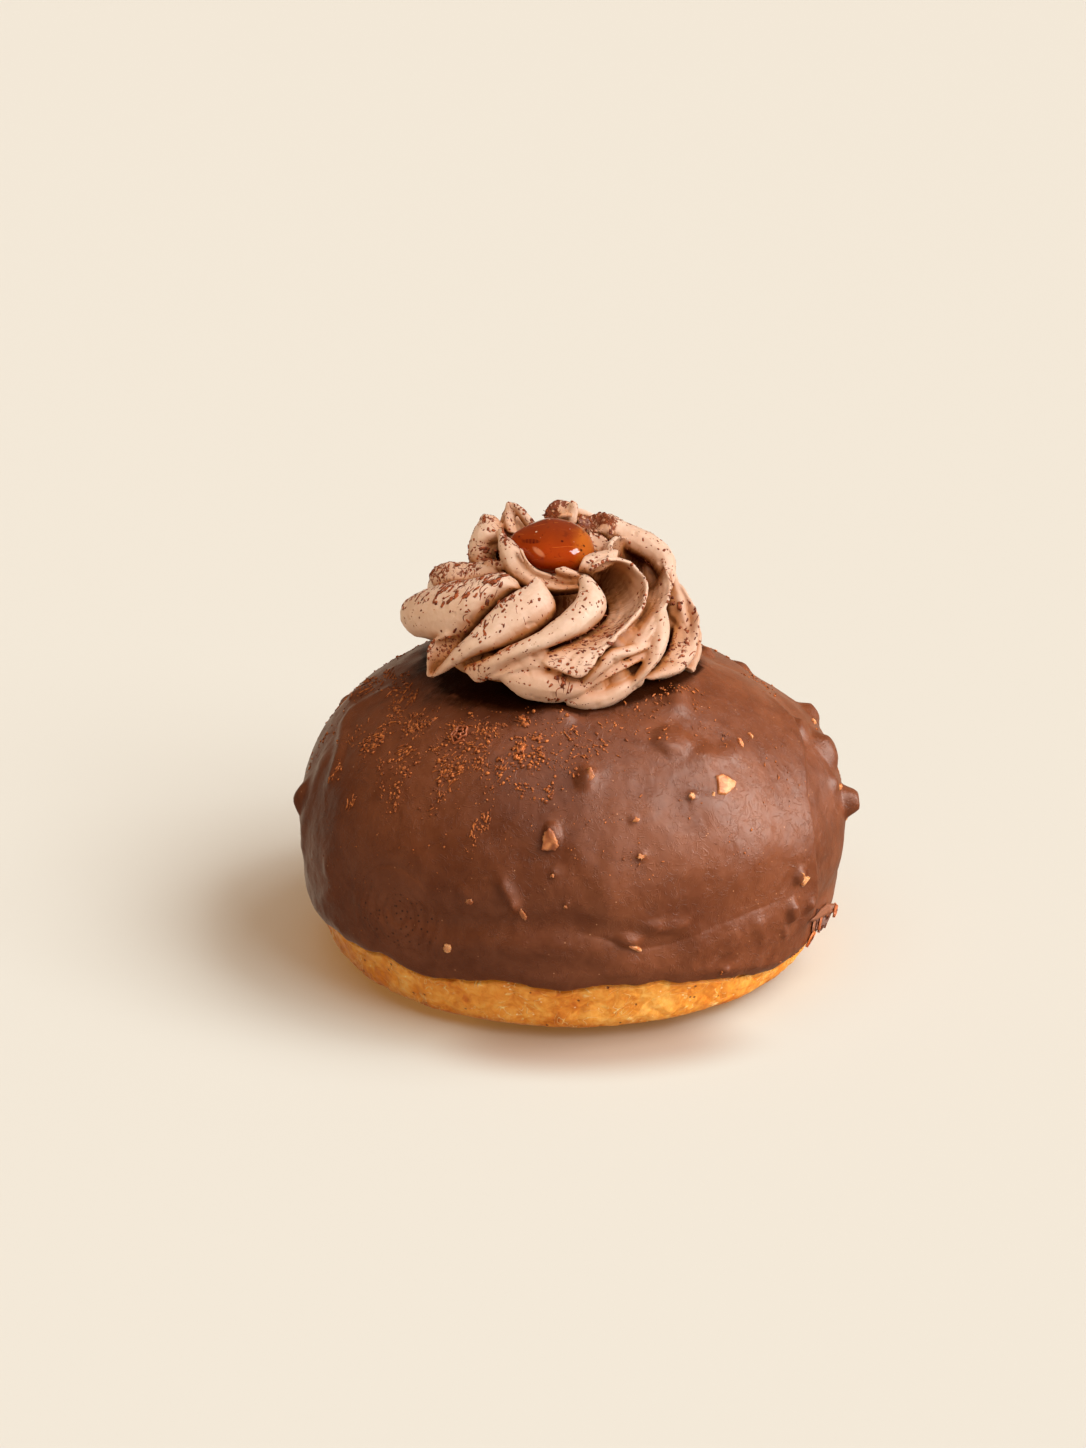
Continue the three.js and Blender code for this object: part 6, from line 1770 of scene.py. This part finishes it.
CHIPS = [  # azimuth, height, how proud, outline (east, up) in mm
    (-52.8, 40.8, 0.35, [(-0.81, 1.73), (0.22, 1.79), (2.16, -0.04), (1.27, -0.85), (-0.8, -1.56), (-2.02, -1.06)]),
    (-95, 36.6, 0.25, [(-1.24, -1.66), (-1.21, -0.14), (-0.91, 1.23), (-0.18, 1.78), (0.44, 1.28), (1.09, 0.08), (1.29, -0.97), (0.72, -1.6)]),
    (-86.8, 44, 0.3, [(-1.14, -1.18), (-0.6, 0.24), (-0.2, 1.85), (0.28, 2.01), (0.77, 0.74), (1.02, -0.52), (0.42, -1.4), (-0.54, -1.73)]),
    (-111, 26, 0.3, [(-0.58, -0.09), (-0.25, 0.38), (0.35, 0.47), (0.61, 0.01), (0.19, -0.39), (-0.32, -0.39)]),
    (-100.5, 25.2, 0.25, [(-0.6, 0.92), (-0.2, 1.12), (0.28, 0.31), (0.69, -0.59), (0.37, -1.12), (-0.11, -0.74), (-0.43, 0.09)]),
    (-76.3, 33.6, 0.5, [(-0.66, -0.21), (-0.34, 0.54), (0.03, 0.19), (0.77, 0.2), (0.32, -0.23), (-0.12, -0.5)]),
    (-76.5, 38.5, 0.4, [(-0.63, -0.12), (-0.15, 0.36), (0.54, 0.1), (0.24, -0.33)]),
    (-62.4, 40.4, 0.3, [(-0.6, -0.06), (-0.08, 0.62), (0.37, 0.36), (0.47, -0.35), (-0.15, -0.57)]),
    (-57, 40.1, 0.2, [(-0.46, -0.16), (0.09, 0.42), (0.37, 0.18), (-0, -0.44)]),
    (-37.1, 23.3, 0.5, [(-1.12, 1.65), (-0.18, 0.53), (1.34, -0.08), (0.63, -0.63), (0.07, -1.41), (-0.74, -0.07)]),
    (-40.3, 44.7, 0.3, [(0.18, 0.99), (0.59, 0.74), (0.17, -0.59), (-0.49, -0.99), (-0.45, -0.15)]),
    (-34.3, 45, 0.25, [(-0.23, 0.58), (0.28, 0.49), (0.25, -0.5), (-0.3, -0.57)]),
    (-115.8, 17.2, 0.3, [(-0.77, -0.08), (-0.38, 0.69), (0.52, 0.77), (0.81, 0.07), (0.27, -0.73), (-0.45, -0.73)]),
    (-78, 19, 0.35, [(-1.15, 0.76), (-0.59, 0.92), (0.57, -0.02), (1.15, -0.7), (0.59, -0.87), (-0.57, -0.09)]),
    (-6.7, 26.5, 0.3, [(-3.12, -1.31), (-1.53, 0.12), (-0.08, 1.82), (1.37, 1.1), (3.3, 0.3), (1.37, -0.68), (-1.29, -1.36)]),
    (-11.7, 31.6, 0.4, [(-0.97, 0.38), (0.48, 0.38), (0.97, -0.33), (-0.48, -0.42)]),
    (3.9, 38.8, 0.3, [(-1.51, 0.38), (0.42, 0.47), (1.15, -0.33), (-0.06, -0.51)]),
    (-91.7, 26.3, 0.3, [(-0.31, -0.19), (-0.16, 0.23), (0.23, 0.18), (0.24, -0.22)]),
    (-94.3, 31.2, 0.3, [(-0.39, -0.23), (-0.09, 0.33), (0.31, 0.19), (0.16, -0.29)]),

]


# ------------------------------------------------------------------ floor and light
LIT = {k: bpy.data.collections.new("lit_" + k) for k in ("floor", "food", "cream", "gel")}


def stage_set():
    me = bpy.data.meshes.new("floor")
    s = 12.0
    me.from_pydata([(-s, -s, 0), (s, -s, 0), (s, s, 0), (-s, s, 0)], [], [(0, 1, 2, 3)])
    o = bpy.data.objects.new("floor", me)
    scene.collection.objects.link(o)
    m, nt, b = material("floor")
    n = N(nt)
    x, y, z = n.sep(n.coord())
    # painted contact shadow: close in front of the doughnut the floor's colour and glow are darkened, for camera rays
    # only
    r = n.math("SQRT", n.math("ADD", n.math("MULTIPLY", x, x), n.math("MULTIPLY", y, y)))
    facing = n.math("DIVIDE", n.math("ADD", n.math("MULTIPLY", x, 0.087), n.math("MULTIPLY", y, -0.996)), r)
    near = n.math("MULTIPLY", n.range(r, 45.0, 56.0, 1.0, 0.0), n.range(facing, 0.80, 0.97))
    near = n.math("MULTIPLY", near, n.new("ShaderNodeLightPath").outputs["Is Camera Ray"])
    n.put(b.inputs["Base Color"], n.mix(near, FLOOR, tuple(f * k for f, k in zip(FLOOR, (0.70, 0.56, 0.52)))))
    n.put(b.inputs["Emission Color"], n.mix(near, PAINTED_FILL_GLOW, tuple(f * 0.75 for f in PAINTED_FILL_GLOW)))
    b.inputs["Roughness"].default_value = 0.95
    b.inputs["Specular IOR Level"].default_value = 0.1
    b.inputs["Emission Strength"].default_value = 1.0
    me.materials.append(m)
    o.visible_glossy = False
    LIT["floor"].objects.link(o)
    w = bpy.data.worlds.new("world")
    scene.world = w
    w.use_nodes = True
    n = N(w.node_tree)
    bg = w.node_tree.nodes["Background"]
    x, y, z = n.sep(n.new("ShaderNodeTexCoord").outputs["Generated"])
    side = n.math("ADD", n.math("MULTIPLY", x, 0.7), n.math("ADD", n.math("MULTIPLY", z, 0.6), n.math("MULTIPLY", y, -0.25)))
    # what the far side of the limb mirrors: the pale floor behind, stronger to the left
    rim = n.math("MULTIPLY", n.range(y, 0.45, 0.95), n.range(x, 0.6, -0.3, 0.55, 1.0))
    rim = n.math("MULTIPLY", rim, n.range(z, 0.22, -0.08))
    rim = n.math("MULTIPLY", rim, n.new("ShaderNodeLightPath").outputs["Is Glossy Ray"])
    n.put(bg.inputs[0], n.mix(rim, n.mix(n.range(side, -0.5, 0.95), SKY[0], SKY[1]), RIM))
    bg.inputs[1].default_value = 1.0
    for name, az, el, spread, power, col, target in LIGHTS:
        v = Vector((math.cos(el * RAD) * math.cos(az * RAD), math.cos(el * RAD) * math.sin(az * RAD), math.sin(el * RAD)))
        if name.startswith("sun"):
            d = bpy.data.lights.new(name, "SUN")
            d.angle = spread * RAD
            d.energy = power
        else:
            # a big soft box three metres off; power is given as the light it brings to a face turned towards it
            d = bpy.data.lights.new(name, "AREA")
            d.shape = "RECTANGLE"
            d.size, d.size_y = 2 * 3 * math.tan(spread[0] / 2 * RAD), 2 * 3 * math.tan(spread[1] / 2 * RAD)
            d.energy = power * math.pi * 9
        d.color = col
        L = bpy.data.objects.new(name, d)
        L.rotation_euler = v.to_track_quat("Z", "Y").to_euler()
        L.location = v * 3
        scene.collection.objects.link(L)
        L.light_linking.receiver_collection = LIT[target]
        if name.startswith("sun_gel"):
            L.visible_glossy = False
        if name == "window":
            L.visible_diffuse = False


FLOOR = (0.394, 0.444, 0.462)
# the floor's glow is painted warm fill light that lifts its shadows
PAINTED_FILL_GLOW = (0.225, 0.105, 0.027)
RIM = (1.0, 0.80, 0.58)
SKY = ((0.11, 0.085, 0.060), (0.29, 0.23, 0.165))  # away from the window, and towards it
TIPS = {(-86.8, 44): (0.5, -0.2, 0.62), (-95, 36.6): (0.0, -0.45, 0.95), (-100.5, 25.2): (0.0, -0.3, 1.0), (-111, 26): (0.0, 0.0, 1.2)}  # az, height: moved by (east, up), size
LIGHTS = [  # name, azimuth, elevation, spread, power, colour, what it lights
    ("sun_floor_a", -48, 36, 30, 1.90, (1.0, 0.95, 0.87), "floor"), ("sun_floor_b", -17, 47, 30, 2.10, (1.0, 0.95, 0.87), "floor"),
    ("sun_floor_c", 6, 56, 30, 1.40, (1.0, 0.95, 0.87), "floor"), ("sun_floor_top", -100, 76, 60, 0.90, (1.0, 0.95, 0.88), "floor"),
    ("sun_key", -12, 45, 46, 3.5, (1.0, 0.95, 0.87), "food"), ("sun_front", -64, 26, 44, 0.68, (1.0, 0.95, 0.87), "food"),
    ("sun_top", -100, 76, 60, 0.9, (1.0, 0.95, 0.88), "food"), ("sun_side", 0, 15, 36, 2.3, (1.0, 0.95, 0.88), "food"),
    ("sun_cream", -20, 47, 40, 3.0, (0.97, 0.99, 1.0), "cream"), ("sun_cream_top", -110, 58, 50, 1.0, (1.0, 0.97, 0.96), "cream"),
    ("sun_cream_side", 0, 15, 36, 1.3, (0.97, 0.98, 0.97), "cream"), ("sun_cream_fill", -155, 22, 60, 0.95, (1.0, 0.76, 0.44), "cream"),
    ("sun_gel", -30, 50, 40, 2.1, (1.0, 0.95, 0.88), "gel"), ("sun_gel_top", -100, 66, 50, 1.2, (1.0, 0.95, 0.88), "gel"),
    ("window", -20, 33.5, (28, 20), 3.9, (0.97, 0.97, 1.0), "gel")]

# ------------------------------------------------------------------ build
stage_set()

dough = dough_piece()
dough.data.materials.append(dough_material())
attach(dough, "root")
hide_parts("dough_body")

coat = coat_piece()
coat.data.materials.append(chocolate_material())
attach(coat, "root")
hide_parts("chocolate_coat")

cream = swirl_piece()
cream.data.materials.append(cream_material())
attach(cream, "root")
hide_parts("cream_swirl")

gel = gel_piece()
gel.data.materials.append(gel_material())
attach(gel, "root")
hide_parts("gel_drop")

coat_tree, cream_tree = tree_of(coat), tree_of(cream)
shade_under(coat, cream_tree)

nuts = Bits(11)
tips = Bits(14)
for az, z, proud, outline_mm in CHIPS:
    p0, east, up, out = body_frame(az, z)
    h, n_ = land(coat_tree, p0, out)
    if (az, z) in TIPS:
        # a nut that is coated but for its tip
        dx, dz, k = TIPS[az, z]
        h, n_ = land(coat_tree, h + east * dx + up * dz + n_ * 0.5, out)
        tips.chip(h, n_, east, [(x * k, y * k) for x, y in outline_mm], 0.14, 0.9, 0.12)
    else:
        nuts.chip(h, unit(0.6 * n_ + 0.4 * out), east, outline_mm, proud)
tips = tips.mesh("nut_tips")
tips.data.materials.append(tip_material())
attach(tips, "root")
nuts = nuts.mesh("nut_pieces")
nuts.data.materials.append(nut_material())
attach(nuts, "root")

crumbs = Bits(12)
scatter_on_coat(crumbs, coat_tree, GRATED + GRATED_BACK)
for x, y, turn, outline_mm, proud in FLAKES:
    h, n_ = seen_at(coat_tree, x, y)
    e = unit(np.cross(np.array([0.0, 0.0, 1.0]), n_))
    u_ = np.cross(n_, e)
    t = turn * RAD
    crumbs.chip(h, n_, unit(e * math.cos(t) + u_ * math.sin(t)), outline_mm, proud, 0.5, 0.1)
for x, y in ((803.5, 948), (801.5, 951), (803, 952.5), (799.5, 954), (801, 955.5), (798.5, 957), (780, 962), (722, 972), (721.2, 974)):
    h, n_ = seen_at(coat_tree, x, y, 0.0, 0.0)
    crumbs.crumb(h, n_, crumbs.rng.uniform(0.28, 0.46), None, 1.3, 0.8)
crumbs = crumbs.mesh("grated_chocolate")
shavings = shavings_mesh("chocolate_shavings", [(curl_piece(coat_tree), 0.70)] + comb_piece(coat_tree))
shavings.data.materials.append(shaving_material())
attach(shavings, "root")
crumbs.data.materials.append(grated_material("grated", srgb(74, 32, 12), srgb(146, 74, 30), srgb(200, 114, 54)))
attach(crumbs, "root")

cocoa = Bits(13)
scatter_on_cream(cocoa, cream_tree, COCOA)
fine_dust(cocoa, cream_tree)
cocoa_on_back(cocoa, cream_tree)
cocoa = cocoa.mesh("cocoa_specks")
cocoa.data.materials.append(grated_material("cocoa", srgb(82, 32, 12), srgb(130, 57, 24), srgb(170, 86, 42)))
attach(cocoa, "root")
for piece in (dough, coat, cream, gel, nuts, tips, crumbs, shavings, cocoa):
    LIT["gel" if piece is gel else "cream" if piece in (cream, cocoa) else "food"].objects.link(piece)
    print(piece.name, sum(len(p.vertices) - 2 for p in piece.data.polygons))
